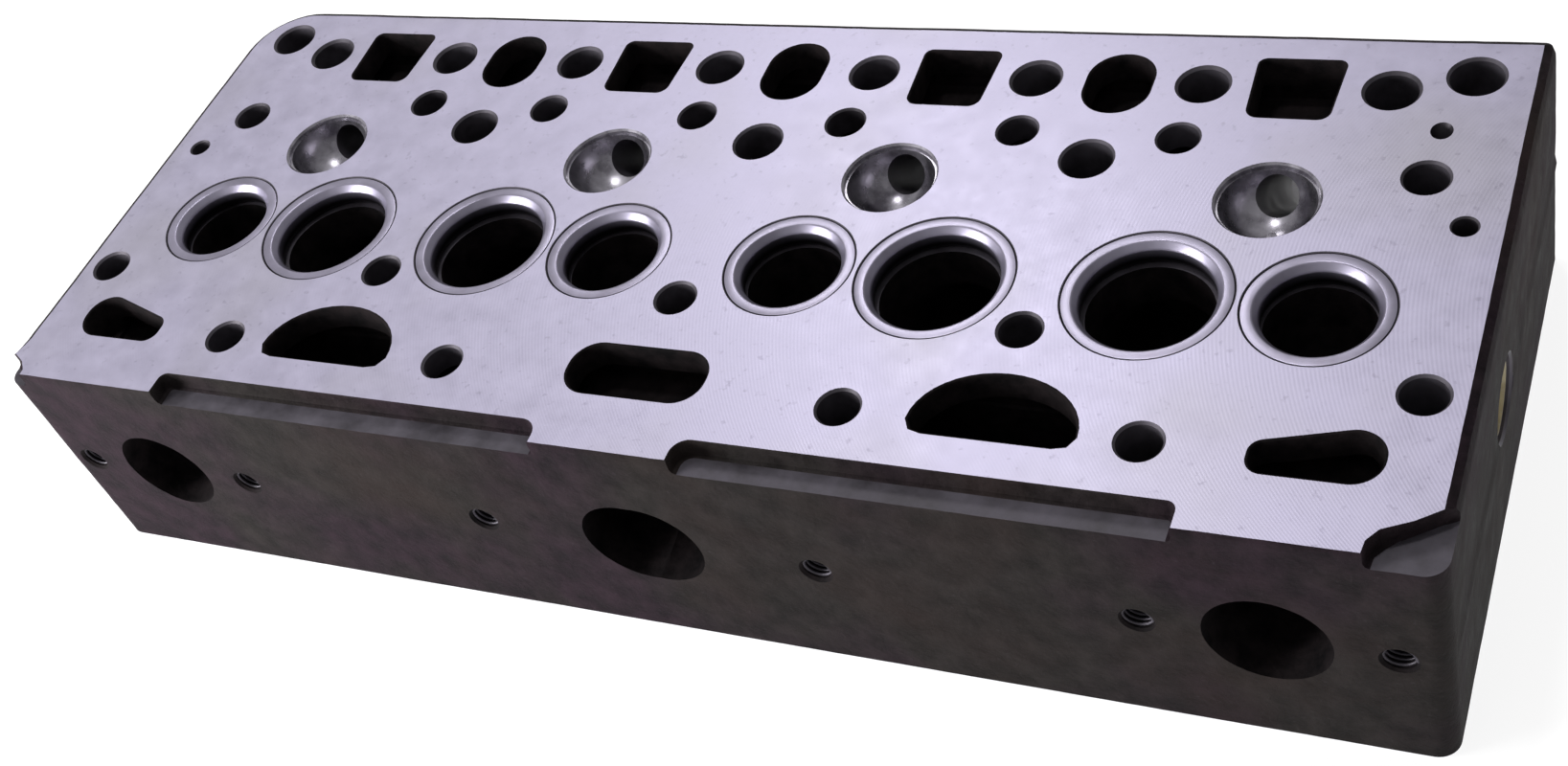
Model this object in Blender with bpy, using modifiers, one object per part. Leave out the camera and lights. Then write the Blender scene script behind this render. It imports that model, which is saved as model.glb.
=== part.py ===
"""Bare cylinder head of a four-cylinder pushrod diesel with swirl chambers, gasket deck up.

The head casting holds four intake and four exhaust valve seats, eight valve guides and five
core plugs. X runs along the crankshaft, Y from the exhaust side to the intake side, Z from
the rocker cover face up to the gasket deck.
"""

import math

import bmesh
import bpy
from mathutils import Matrix, Vector

# Sizes are in millimetres, and MM turns them into metres.
MM = 0.001

# Block
HEAD_LENGTH = 445.0
HEAD_WIDTH = 180.0
HEAD_HEIGHT = 84.0
EXHAUST_CORNER_RADIUS = 6.0
FRONT_CORNER_RADIUS = 22.0
REAR_CORNER_RADIUS = 3.0
LEDGE_DEPTH = 5.5

# Valves: places along X, then the row across Y
EXHAUST_X = (-179.0, -30.0, 30.0, 179.0)
INTAKE_X = (-134.5, -74.5, 74.5, 134.5)
VALVE_Y = -16.0
INTAKE_SEAT_DIAMETER = 45.6
INTAKE_THROAT_DIAMETER = 36.6
SEAT_BRIDGE = 2.3
SEAT_WALL = 4.6
SEAT_DEPTH = 8.0
SEAT_LAND = 0.2
SEAT_FACE_SHARE = 0.34
CLEARANCE = 0.3

# Valve guides
GUIDE_DIAMETER = 14.0
STEM_DIAMETER = 8.0
GUIDE_FLANGE_WALL = 2.0
GUIDE_FLANGE_THICKNESS = 2.5
GUIDE_FOOT = 3.0
GUIDE_PORT_END = 42.0
GUIDE_BORE_TOP = 50.0
SPRING_SEAT_DIAMETER = 33.0
SPRING_SEAT_DEPTH = 1.5

# Swirl chambers and injector bores
CHAMBER_X = (-158.0, -48.0, 48.0, 158.0)
CHAMBER_Y = 21.5
CHAMBER_DIAMETER = 28.0
INJECTOR_LEAN = 50.0
INJECTOR_TIP_DIAMETER = 12.0
INJECTOR_BODY_DIAMETER = 22.0
CLAMP_HOLE_OFFSET = 17.0
CLAMP_HOLE_HEIGHT = 26.0
CLAMP_HOLE_DEPTH = 11.0

# Ports
PORT_HEIGHT = 42.0
PORT_BEND = 22.5
EXHAUST_PORT_DIAMETER = 33.0
INTAKE_PORT_HEIGHT = 36.0
SIAMESE_X = 104.5

# Rocker side
TRAY_DEPTH = 12.0
PAD_TOP = 4.0
BOSS_TOP = 5.0
BOSS_DIAMETER = 22.0
COVER_HOLES = ((-211.5, 2.0), (211.5, 2.0), (-30.0, -56.0), (30.0, -56.0))
COVER_HOLE_DIAMETER = 6.8
COVER_HOLE_DEPTH = 14.0

# Core plugs: the middle of each bore's mouth, then its direction into the block
PLUGS = (
    ("front", (-222.5, -8.0, 46.0), (1.0, 0.0, 0.0)),
    ("rear", (222.5, -8.0, 46.0), (-1.0, 0.0, 0.0)),
    ("intake_side", (0.0, 90.0, 46.0), (0.0, -1.0, 0.0)),
    ("rocker_front", (-106.0, -62.0, 0.0), (0.0, 0.0, 1.0)),
    ("rocker_rear", (106.0, -62.0, 0.0), (0.0, 0.0, 1.0)),
)
PLUG_DIAMETER = 24.0
PLUG_LENGTH = 6.0
PLUG_WALL = 1.7
PLUG_DOME = 0.6
PLUG_INSET = 1.5
PLUG_BORE_DEPTH = 14.0

# Holes: X, Y and diameter
BOLT_HOLES = (
    (0.0, 33.5, 15.0),
    (-104.4, 33.5, 15.0),
    (104.4, 33.5, 15.0),
    (-197.4, 33.0, 12.0),
    (197.4, 33.0, 12.0),
    (0.0, -32.3, 12.0),
    (-104.4, -32.3, 12.0),
    (104.4, -32.3, 12.0),
    (-209.3, -41.1, 12.0),
    (209.3, -41.1, 12.0),
    (-145.3, -65.0, 12.0),
    (-63.6, -65.0, 12.0),
    (63.6, -65.0, 12.0),
    (145.3, -65.0, 12.0),
)
PUSHROD_X = (-182.6, -130.0, -79.6, -27.0, 27.0, 79.6, 130.0, 182.6)
PUSHROD_Y = 66.5
PUSHROD_HOLE_DIAMETER = 14.6
CORNER_HOLE = (204.0, 73.4, 14.6)
COOLANT_HOLE_X = (-128.3, -80.6, -25.6, 25.6, 80.6, 128.3)
COOLANT_HOLE_Y = 43.7
COOLANT_HOLE_DIAMETER = 12.0
OVALS = ((-105.3, 53.6, 77.9), (0.0, 53.2, 78.4), (105.3, 53.4, 77.6))
WINDOWS = ((-156.3, 54.2, 77.5), (-53.4, 54.0, 77.2), (53.4, 53.8, 77.3), (156.3, 54.1, 77.7))
DOWEL_HOLE = (209.7, 16.0, 6.6)
DOWEL_HOLE_DEPTH = 12.0
OIL_FEED_DIAMETER = 6.0
EXHAUST_STUD_X = (-210.0, -145.0, -54.7, 54.7, 145.0, 210.0)
INTAKE_STUD_X = (-132.0, -77.0, 77.0, 132.0)
STUD_HOLE_DIAMETER = 8.5
STUD_HOLE_DEPTH = 15.0

# Water jacket levels
JACKET_FLOOR = 24.0
GALLERY_FLOOR = 68.0
GALLERY_ROOF = 75.5
PUSHROD_BOSS_WALL = 3.2
BOLT_BOSS_WALL = 3.5

# How far a cutting tool runs past the face it starts from
OVERRUN = 2.0

# Facets round a hole
SMALL_SIDES = 10
HOLE_SIDES = 14
PORT_SIDES = 16
SEAT_SIDES = 24

# The layout is drawn for a block of this size. Its places follow the real block, and its
# diameters keep their own size unless a side of the block shrinks.
LAYOUT = Vector((445.0, 180.0, 84.0))
HEAD_TOP = LAYOUT.z
STRETCH = Vector((HEAD_LENGTH / LAYOUT.x, HEAD_WIDTH / LAYOUT.y, HEAD_HEIGHT / LAYOUT.z))
GIRTH = min(1.0, *STRETCH)

# The two seats of a cylinder share the space between their valves.
VALVE_SPACING = EXHAUST_X[3] - INTAKE_X[3]
EXHAUST_SEAT_DIAMETER = 2.0 * (VALVE_SPACING - SEAT_BRIDGE) - INTAKE_SEAT_DIAMETER
EXHAUST_THROAT_DIAMETER = EXHAUST_SEAT_DIAMETER - 2.0 * SEAT_WALL


def clear_scene():
    for old in list(bpy.data.objects):
        bpy.data.objects.remove(old, do_unlink=True)
    for old in list(bpy.data.collections):
        bpy.data.collections.remove(old)


def make_collection(name):
    collection = bpy.data.collections.new(name)
    bpy.context.scene.collection.children.link(collection)
    return collection


def make_material(name, colour, roughness, metallic):
    material = bpy.data.materials.new(name)
    material.use_nodes = True
    shader = material.node_tree.nodes["Principled BSDF"]
    shader.inputs["Base Color"].default_value = (*colour, 1.0)
    shader.inputs["Roughness"].default_value = roughness
    shader.inputs["Metallic"].default_value = metallic
    return material


def place(x, y, z):
    """A point of the nominal head, moved with the block and given in metres."""
    return Vector((x * STRETCH.x, y * STRETCH.y, z * STRETCH.z)) * MM


def finish_mesh(name, bm, collection):
    bmesh.ops.recalc_face_normals(bm, faces=bm.faces)
    mesh = bpy.data.meshes.new(name)
    bm.to_mesh(mesh)
    bm.free()
    made = bpy.data.objects.new(name, mesh)
    collection.objects.link(made)
    return made


def cut(tool, operation="DIFFERENCE"):
    """Takes the tool's shape out of the casting, or joins it on with UNION."""
    tool.hide_render = True
    tool.display_type = "WIRE"
    boolean = casting.modifiers.new(tool.name, "BOOLEAN")
    boolean.operation = operation
    boolean.solver = "EXACT"
    boolean.object = tool


def extruded(name, outlines, low, high, collection):
    """A mesh made from flat curve outlines that lie apart, drawn out between two heights."""
    curve = bpy.data.curves.new(name, "CURVE")
    curve.dimensions = "2D"
    curve.fill_mode = "BOTH"
    curve.extrude = (high - low) * STRETCH.z * MM / 2.0
    for outline in outlines:
        spline = curve.splines.new("POLY")
        spline.points.add(len(outline) - 1)
        for point, (x, y) in zip(spline.points, outline):
            point.co = (*place(x, y, 0.0), 1.0)
        spline.use_cyclic_u = True
    drawn = bpy.data.objects.new(name, curve)
    drawn.location = place(0.0, 0.0, (low + high) / 2.0)
    collection.objects.link(drawn)
    bpy.context.view_layer.update()
    graph = bpy.context.evaluated_depsgraph_get()
    mesh = bpy.data.meshes.new_from_object(drawn.evaluated_get(graph))
    matrix = drawn.matrix_world.copy()
    bpy.data.objects.remove(drawn)
    bm = bmesh.new()
    bm.from_mesh(mesh)
    bpy.data.meshes.remove(mesh)
    bmesh.ops.remove_doubles(bm, verts=bm.verts, dist=1e-7)
    bmesh.ops.dissolve_limit(bm, angle_limit=1e-4, verts=bm.verts, edges=bm.edges)
    made = finish_mesh(name, bm, collection)
    made.matrix_world = matrix
    return made


def rounded(corners, steps=4):
    """An outline from (x, y, radius) corners given anticlockwise."""
    points = []
    for index, (x, y, radius) in enumerate(corners):
        here = Vector((x, y))
        before = Vector(corners[index - 1][:2]) - here
        after = Vector(corners[(index + 1) % len(corners)][:2]) - here
        before.normalize()
        after.normalize()
        half = before.angle(after) / 2.0
        reach = radius / math.tan(half)
        centre = here + (before + after).normalized() * radius / math.sin(half)
        first = here + before * reach - centre
        sweep = math.pi - 2.0 * half
        for step in range(steps + 1):
            turned = Matrix.Rotation(sweep * step / steps, 2) @ first
            points.append(tuple(centre + turned))
    return points


def box_outline(x0, x1, y0, y1, radius=0.5, steps=1):
    corners = ((x0, y0, radius), (x1, y0, radius), (x1, y1, radius), (x0, y1, radius))
    return rounded(corners, steps)


def mirrored(outline):
    return [(-x, y) for x, y in reversed(outline)]


def add_box(bm, x0, x1, y0, y1, z0, z1):
    low = place(min(x0, x1), y0, z0)
    high = place(max(x0, x1), y1, z1)
    matrix = Matrix.Translation((low + high) / 2.0) @ Matrix.Diagonal((*(high - low), 1.0))
    bmesh.ops.create_cube(bm, size=1.0, matrix=matrix)


def add_bore(bm, start, end, diameter, sides=HOLE_SIDES):
    """A cylinder between two points of the nominal head."""
    foot = place(*start)
    axis = place(*end) - foot
    turn = axis.to_track_quat("Z", "Y").to_matrix().to_4x4()
    bmesh.ops.create_cone(
        bm,
        cap_ends=True,
        segments=sides,
        radius1=diameter * GIRTH * MM / 2.0,
        radius2=diameter * GIRTH * MM / 2.0,
        depth=axis.length,
        matrix=Matrix.Translation(foot + axis / 2.0) @ turn,
    )


def add_hole(bm, x, y, diameter, low, high, sides=HOLE_SIDES):
    add_bore(bm, (x, y, low), (x, y, high), diameter, sides)


def add_passage(bm, stations, sides):
    """A tube through (x, y, z, half width, half height) stations."""
    centres = [place(*station[:3]) for station in stations]
    rings = []
    for index, station in enumerate(stations):
        ahead = centres[min(index + 1, len(centres) - 1)]
        behind = centres[max(index - 1, 0)]
        forward = (ahead - behind).normalized()
        side = (Vector((1.0, 0.0, 0.0)) - forward * forward.x).normalized()
        rise = forward.cross(side)
        ring = []
        for step in range(sides):
            angle = math.tau * step / sides
            wide = side * math.cos(angle) * station[3]
            tall = rise * math.sin(angle) * station[4]
            ring.append(bm.verts.new(centres[index] + (wide + tall) * GIRTH * MM))
        rings.append(ring)
    bm.faces.new(rings[0])
    bm.faces.new(list(reversed(rings[-1])))
    for ring, after in zip(rings, rings[1:]):
        for step in range(sides):
            turn = (step + 1) % sides
            bm.faces.new((ring[step], ring[turn], after[turn], after[step]))


def elbow(x, towards, radius):
    """Stations from the valve seat down and round to the port height."""
    stations = [(x, VALVE_Y, HEAD_TOP - 4.0, radius, radius)]
    for degrees in (0.0, 30.0, 60.0, 90.0):
        angle = math.radians(degrees)
        y = VALVE_Y + towards * PORT_BEND * (1.0 - math.cos(angle))
        z = PORT_HEIGHT + PORT_BEND * (1.0 - math.sin(angle))
        stations.append((x, y, z, radius, radius))
    return stations


def exhaust_stations(x):
    side = math.copysign(1.0, x)
    throat = EXHAUST_THROAT_DIAMETER / 2.0
    mouth = EXHAUST_PORT_DIAMETER / 2.0
    stations = elbow(x, -1.0, throat)
    if abs(x) > SIAMESE_X:
        stations.append((x, -64.0, PORT_HEIGHT, mouth - 0.5, mouth - 0.5))
        stations.append((178.0 * side, -92.0, PORT_HEIGHT, mouth, mouth))
    else:
        stations.append((20.0 * side, -54.0, PORT_HEIGHT, throat, throat))
        stations.append((9.0 * side, -72.0, PORT_HEIGHT, mouth - 1.0, mouth - 1.0))
        stations.append((1.5 * side, -92.0, PORT_HEIGHT, mouth, mouth))
    return stations


def intake_stations(x):
    """The two intake passages of a pair pass either side of a bolt and meet."""
    middle = math.copysign(SIAMESE_X, x)
    inner = math.copysign(1.0, x - middle)
    tall = INTAKE_PORT_HEIGHT / 2.0
    stations = elbow(x, 1.0, INTAKE_THROAT_DIAMETER / 2.0 - 0.8)
    stations.append((middle + 25.5 * inner, 30.0, PORT_HEIGHT, 12.0, tall - 2.0))
    stations.append((middle + 12.5 * inner, 50.0, PORT_HEIGHT, 10.0, tall - 1.5))
    stations.append((middle + 4.8 * inner, 67.0, PORT_HEIGHT, 10.2, tall - 1.0))
    stations.append((middle + 4.0 * inner, 92.0, PORT_HEIGHT, 13.0, tall))
    return stations


def turned(name, profile, matrix, sides, material, axial):
    """Turns (radius, height) points with a Screw: down the outer side, then up the inner one."""
    bm = bmesh.new()
    points = [bm.verts.new((r * GIRTH * MM, 0.0, h * axial * MM)) for r, h in profile]
    for point, after in zip(points, points[1:]):
        bm.edges.new((point, after))
    if profile[0][0] > 0.0:
        bm.edges.new((points[-1], points[0]))
    mesh = bpy.data.meshes.new(name)
    bm.to_mesh(mesh)
    bm.free()
    mesh.materials.append(material)
    made = bpy.data.objects.new(name, mesh)
    made.matrix_world = matrix
    parts.objects.link(made)
    screw = made.modifiers.new("turn", "SCREW")
    screw.axis = "Z"
    screw.steps = sides
    screw.render_steps = sides
    screw.use_merge_vertices = True
    screw.merge_threshold = 0.00001
    screw.use_smooth_shade = True
    return made


clear_scene()
parts = make_collection("cylinder_head")
cutters = make_collection("cylinder_head_cutters")

cast_iron = make_material("machined_cast_iron", (0.43, 0.42, 0.45), 0.42, 0.75)
seat_steel = make_material("valve_seat_steel", (0.55, 0.54, 0.53), 0.28, 0.95)
guide_iron = make_material("valve_guide_iron", (0.30, 0.29, 0.29), 0.45, 0.85)
plug_steel = make_material("core_plug_steel", (0.62, 0.58, 0.46), 0.35, 0.95)

# Block
block = (
    (-222.5, -90.0, EXHAUST_CORNER_RADIUS),
    (222.5, -90.0, EXHAUST_CORNER_RADIUS),
    (222.5, 90.0, REAR_CORNER_RADIUS),
    (-222.5, 90.0, FRONT_CORNER_RADIUS),
)
casting = extruded("head_casting", [rounded(block)], 0.0, HEAD_TOP, parts)
casting.data.materials.append(cast_iron)

# Ledges along the exhaust edge of the deck
ledge = ((22.0, -94.0, 1.0), (159.0, -94.0, 1.0), (159.0, -82.0, 2.5), (22.0, -82.0, 5.0))
ledge = rounded(ledge, 3)
corner = [(203.0, -94.0), (226.0, -94.0), (226.0, -69.0), (222.0, -72.5), (213.0, -79.0)]
corner += [(206.5, -82.5), (204.0, -86.0)]
front_corner = [(-213.8, -87.5), (-216.5, -84.5), (-221.0, -82.0), (-226.0, -80.0)]
front_corner += [(-226.0, -94.0), (-213.0, -94.0)]
outlines = [ledge, mirrored(ledge), corner, front_corner]
cut(extruded("deck_ledges", outlines, HEAD_TOP - LEDGE_DEPTH, HEAD_TOP + OVERRUN, cutters))

# Rocker tray, then its pedestal pads and bolt bosses
tray = box_outline(-199.6, 199.6, -45.8, 79.0, 24.0, 5)
cut(extruded("rocker_tray", [tray], -OVERRUN, TRAY_DEPTH, cutters))

outlines = [box_outline(x - 17.0, x + 17.0, 18.5, 48.5, 3.0) for x in (-104.4, 0.0, 104.4)]
outlines += [box_outline(x - 11.0, x + 11.0, 18.5, 48.5, 3.0) for x in (-193.0, 193.0)]
cut(extruded("rocker_pads", outlines, PAD_TOP, TRAY_DEPTH + OVERRUN, cutters), "UNION")

bm = bmesh.new()
for x in (-104.4, 0.0, 104.4):
    add_hole(bm, x, -32.3, BOSS_DIAMETER, BOSS_TOP, TRAY_DEPTH + OVERRUN)
cut(finish_mesh("rocker_bosses", bm, cutters), "UNION")

# Water jacket: galleries under the deck, wells below them, and links at the ends
bm = bmesh.new()
add_box(bm, -201.0, 201.0, -71.0, -46.3, GALLERY_FLOOR, GALLERY_ROOF)
add_box(bm, -192.0, 192.0, 53.0, 78.0, GALLERY_FLOOR, GALLERY_ROOF)
cut(finish_mesh("deck_galleries", bm, cutters))

bm = bmesh.new()
add_box(bm, -14.0, 14.0, 54.0, 77.0, JACKET_FLOOR, GALLERY_FLOOR + 3.5)
for side in (-1.0, 1.0):
    add_box(bm, 44.0 * side, 134.0 * side, -70.0, -47.0, JACKET_FLOOR, GALLERY_FLOOR + 3.5)
    add_box(bm, 198.0 * side, 214.0 * side, -26.0, 8.0, JACKET_FLOOR + 4.0, 66.0)
    add_box(bm, 188.0 * side, 213.0 * side, 56.5, 63.5, 60.0, GALLERY_ROOF - 0.5)
for x in COOLANT_HOLE_X:
    add_box(bm, x - 8.0, x + 8.0, 41.0, 55.0, GALLERY_FLOOR + 0.5, GALLERY_ROOF - 0.5)
cut(finish_mesh("jacket_wells", bm, cutters))

bm = bmesh.new()
for side in (-1.0, 1.0):
    add_box(bm, 207.0 * side, 213.5 * side, 5.0, 60.0, JACKET_FLOOR + 5.0, 65.0)
    add_box(bm, 196.5 * side, 200.4 * side, -49.0, -23.0, 60.5, 73.5)
cut(finish_mesh("jacket_links", bm, cutters))

bm = bmesh.new()
for x in PUSHROD_X:
    boss = PUSHROD_HOLE_DIAMETER + 2.0 * PUSHROD_BOSS_WALL
    add_hole(bm, x, PUSHROD_Y, boss, GALLERY_FLOOR - OVERRUN, GALLERY_ROOF + OVERRUN)
for x, y, diameter in BOLT_HOLES:
    if y < -60.0:
        boss = diameter + 2.0 * BOLT_BOSS_WALL
        add_hole(bm, x, y, boss, JACKET_FLOOR - OVERRUN, GALLERY_ROOF + OVERRUN)
cut(finish_mesh("jacket_bosses", bm, cutters), "UNION")

# Ports: neighbours that run together are cut one after the other.
for name, exhausts, intakes in (
    ("ports_first", EXHAUST_X[0::2], INTAKE_X[0::2]),
    ("ports_second", EXHAUST_X[1::2], INTAKE_X[1::2]),
):
    bm = bmesh.new()
    for x in exhausts:
        add_passage(bm, exhaust_stations(x), PORT_SIDES)
    for x in intakes:
        add_passage(bm, intake_stations(x), PORT_SIDES)
    cut(finish_mesh(name, bm, cutters))

# Seat pockets, spring seats and guide bores
bm = bmesh.new()
for row, diameter in ((EXHAUST_X, EXHAUST_SEAT_DIAMETER), (INTAKE_X, INTAKE_SEAT_DIAMETER)):
    for x in row:
        pocket = diameter + 2.0 * CLEARANCE
        add_hole(bm, x, VALVE_Y, pocket, HEAD_TOP - SEAT_DEPTH, HEAD_TOP + OVERRUN, SEAT_SIDES)
cut(finish_mesh("seat_pockets", bm, cutters))

bm = bmesh.new()
for x in EXHAUST_X + INTAKE_X:
    low = TRAY_DEPTH - OVERRUN
    add_hole(bm, x, VALVE_Y, SPRING_SEAT_DIAMETER, low, TRAY_DEPTH + SPRING_SEAT_DEPTH)
cut(finish_mesh("spring_seats", bm, cutters))

bm = bmesh.new()
for x in EXHAUST_X + INTAKE_X:
    bore = GUIDE_DIAMETER + 2.0 * CLEARANCE
    add_hole(bm, x, VALVE_Y, bore, TRAY_DEPTH - OVERRUN - 1.0, GUIDE_BORE_TOP)
cut(finish_mesh("guide_bores", bm, cutters))

# Swirl chambers, each with its injector bore leaning out to the intake side
lean = Vector((0.0, math.sin(math.radians(INJECTOR_LEAN)), -math.cos(math.radians(INJECTOR_LEAN))))
chamber_bm = bmesh.new()
tip_bm = bmesh.new()
body_bm = bmesh.new()
for x in CHAMBER_X:
    centre = Vector((x, CHAMBER_Y, HEAD_TOP))
    bmesh.ops.create_uvsphere(
        chamber_bm,
        u_segments=16,
        v_segments=10,
        radius=CHAMBER_DIAMETER * GIRTH * MM / 2.0,
        matrix=Matrix.Translation(place(*centre)),
    )
    add_bore(tip_bm, centre + lean * 8.0, centre + lean * 62.0, INJECTOR_TIP_DIAMETER)
    add_bore(body_bm, centre + lean * 59.0, centre + lean * 103.0, INJECTOR_BODY_DIAMETER)
cut(finish_mesh("swirl_chambers", chamber_bm, cutters))
cut(finish_mesh("injector_tips", tip_bm, cutters))
cut(finish_mesh("injector_bodies", body_bm, cutters))

# Bolt, pushrod and corner holes, all the way through
bm = bmesh.new()
for x, y, diameter in BOLT_HOLES:
    add_hole(bm, x, y, diameter, -OVERRUN, HEAD_TOP + OVERRUN)
for x in PUSHROD_X:
    add_hole(bm, x, PUSHROD_Y, PUSHROD_HOLE_DIAMETER, -OVERRUN, HEAD_TOP + OVERRUN)
for side in (-1.0, 1.0):
    x, y, diameter = CORNER_HOLE
    add_hole(bm, x * side, y, diameter, -OVERRUN, HEAD_TOP + OVERRUN)
cut(finish_mesh("through_holes", bm, cutters))

# Deck openings into the water jacket
arch = [(87.5, -69.8), (125.5, -69.8)]
for degrees in range(0, 181, 20):
    angle = math.radians(degrees)
    arch.append((106.5 + 22.5 * math.cos(angle), -66.0 + 17.5 * math.sin(angle)))
teardrop = ((172.5, -69.9, 3.8), (203.7, -69.9, 7.5), (203.7, -52.4, 6.8), (172.5, -61.5, 3.6))
teardrop = rounded(teardrop)
outlines = [arch, mirrored(arch), teardrop, mirrored(teardrop)]
outlines.append(box_outline(-21.5, 21.5, -69.8, -52.2, 8.0, 4))
for x, near, far in OVALS:
    outlines.append(box_outline(x - 9.5, x + 9.5, near, far, 9.3, 4))
for x, near, far in WINDOWS:
    corners = ((x - 11.0, near, 3.0), (x + 11.0, near, 3.0), (x + 12.0, far, 2.0), (x - 12.0, far, 2.0))
    outlines.append(rounded(corners, 2))
opening_floor = GALLERY_FLOOR + 3.0
cut(extruded("coolant_openings", outlines, opening_floor, HEAD_TOP + OVERRUN, cutters))

bm = bmesh.new()
for x in COOLANT_HOLE_X:
    add_hole(bm, x, COOLANT_HOLE_Y, COOLANT_HOLE_DIAMETER, opening_floor, HEAD_TOP + OVERRUN)
cut(finish_mesh("coolant_holes", bm, cutters))

# Dowel holes in the deck, and the oil feed slanting down to an end bolt hole
bm = bmesh.new()
for side in (-1.0, 1.0):
    x, y, diameter = DOWEL_HOLE
    low = HEAD_TOP - DOWEL_HOLE_DEPTH
    add_hole(bm, x * side, y, diameter, low, HEAD_TOP + OVERRUN, SMALL_SIDES)
add_bore(bm, (197.6, 34.0, 50.0), (198.35, 52.2, 86.0), OIL_FEED_DIAMETER, SMALL_SIDES)
cut(finish_mesh("dowel_and_oil_holes", bm, cutters))

# Blind stud holes in the two manifold faces and the rocker face
bm = bmesh.new()
face_y = LAYOUT.y / 2.0
for row, side in ((EXHAUST_STUD_X, -1.0), (INTAKE_STUD_X, 1.0)):
    for x in row:
        mouth = (x, side * (face_y + OVERRUN), PORT_HEIGHT)
        end = (x, side * (face_y - STUD_HOLE_DEPTH), PORT_HEIGHT)
        add_bore(bm, mouth, end, STUD_HOLE_DIAMETER, SMALL_SIDES)
for chamber_x in CHAMBER_X:
    for x in (chamber_x - CLAMP_HOLE_OFFSET, chamber_x + CLAMP_HOLE_OFFSET):
        mouth = (x, face_y + OVERRUN, CLAMP_HOLE_HEIGHT)
        end = (x, face_y - CLAMP_HOLE_DEPTH, CLAMP_HOLE_HEIGHT)
        add_bore(bm, mouth, end, COVER_HOLE_DIAMETER, SMALL_SIDES)
for x, y in COVER_HOLES:
    add_hole(bm, x, y, COVER_HOLE_DIAMETER, -OVERRUN, COVER_HOLE_DEPTH, SMALL_SIDES)
cut(finish_mesh("stud_holes", bm, cutters))

# Core plug bores from the outside into the jacket wells
bm = bmesh.new()
for name, foot, inwards in PLUGS:
    start = Vector(foot) - Vector(inwards) * (OVERRUN + 1.0)
    reach = JACKET_FLOOR + OVERRUN if inwards[2] else PLUG_BORE_DEPTH
    end = Vector(foot) + Vector(inwards) * reach
    add_bore(bm, start, end, PLUG_DIAMETER, SEAT_SIDES)
cut(finish_mesh("core_plug_bores", bm, cutters))

# Valve seats: rings with a 45 degree face towards the valve
for kind, row, outer, throat in (
    ("intake", INTAKE_X, INTAKE_SEAT_DIAMETER, INTAKE_THROAT_DIAMETER),
    ("exhaust", EXHAUST_X, EXHAUST_SEAT_DIAMETER, EXHAUST_THROAT_DIAMETER),
):
    low = HEAD_TOP - SEAT_DEPTH + CLEARANCE
    high = HEAD_TOP - SEAT_LAND
    face = SEAT_FACE_SHARE * (outer - throat) / 2.0
    profile = (
        (outer / 2.0, high),
        (outer / 2.0, low),
        (throat / 2.0, low),
        (throat / 2.0, high - face),
        (throat / 2.0 + face, high),
    )
    for number, x in enumerate(row, 1):
        matrix = Matrix.Translation(place(x, VALVE_Y, 0.0))
        turned(f"{kind}_seat_{number}", profile, matrix, SEAT_SIDES, seat_steel, STRETCH.z)

# Valve guides: pressed in from the tray up to their flange
flange_top = TRAY_DEPTH + SPRING_SEAT_DEPTH - CLEARANCE
flange_foot = flange_top - GUIDE_FLANGE_THICKNESS
for kind, row in (("intake", INTAKE_X), ("exhaust", EXHAUST_X)):
    radius = GUIDE_DIAMETER / 2.0
    stem = STEM_DIAMETER / 2.0
    profile = (
        (radius - 1.6, GUIDE_PORT_END),
        (radius, GUIDE_PORT_END - 4.0),
        (radius, flange_top),
        (radius + GUIDE_FLANGE_WALL, flange_top),
        (radius + GUIDE_FLANGE_WALL, flange_foot),
        (radius, flange_foot),
        (radius, GUIDE_FOOT + 1.2),
        (radius - 0.9, GUIDE_FOOT),
        (stem, GUIDE_FOOT),
        (stem, GUIDE_PORT_END),
    )
    for number, x in enumerate(row, 1):
        matrix = Matrix.Translation(place(x, VALVE_Y, 0.0))
        turned(f"{kind}_guide_{number}", profile, matrix, HOLE_SIDES, guide_iron, STRETCH.z)

# Core plugs: pressed cups with the open side out
radius = PLUG_DIAMETER / 2.0 - CLEARANCE
cup = (
    (0.0, PLUG_LENGTH + PLUG_DOME),
    (radius - 2.4, PLUG_LENGTH),
    (radius, PLUG_LENGTH - 1.4),
    (radius, 0.0),
    (radius - PLUG_WALL, 0.0),
    (radius - PLUG_WALL, PLUG_LENGTH - 2.2),
    (radius - 3.0, PLUG_LENGTH - PLUG_WALL),
    (0.0, PLUG_LENGTH - PLUG_WALL + PLUG_DOME),
)
for name, foot, inwards in PLUGS:
    axis = Vector(inwards)
    turn = axis.to_track_quat("Z", "Y").to_matrix().to_4x4()
    matrix = Matrix.Translation(place(*foot) + axis * PLUG_INSET * GIRTH * MM) @ turn
    turned(f"core_plug_{name}", cup, matrix, SEAT_SIDES, plug_steel, GIRTH)

# The cuts leave a few points that nearly meet, so they are welded before the casting is split
# into triangles.
weld = casting.modifiers.new("weld", "WELD")
weld.merge_threshold = 0.00001
triangles = casting.modifiers.new("triangles", "TRIANGULATE")
triangles.ngon_method = "BEAUTY"
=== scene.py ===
import math

import bmesh
import bpy
from mathutils import Matrix, Vector, noise


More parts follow.
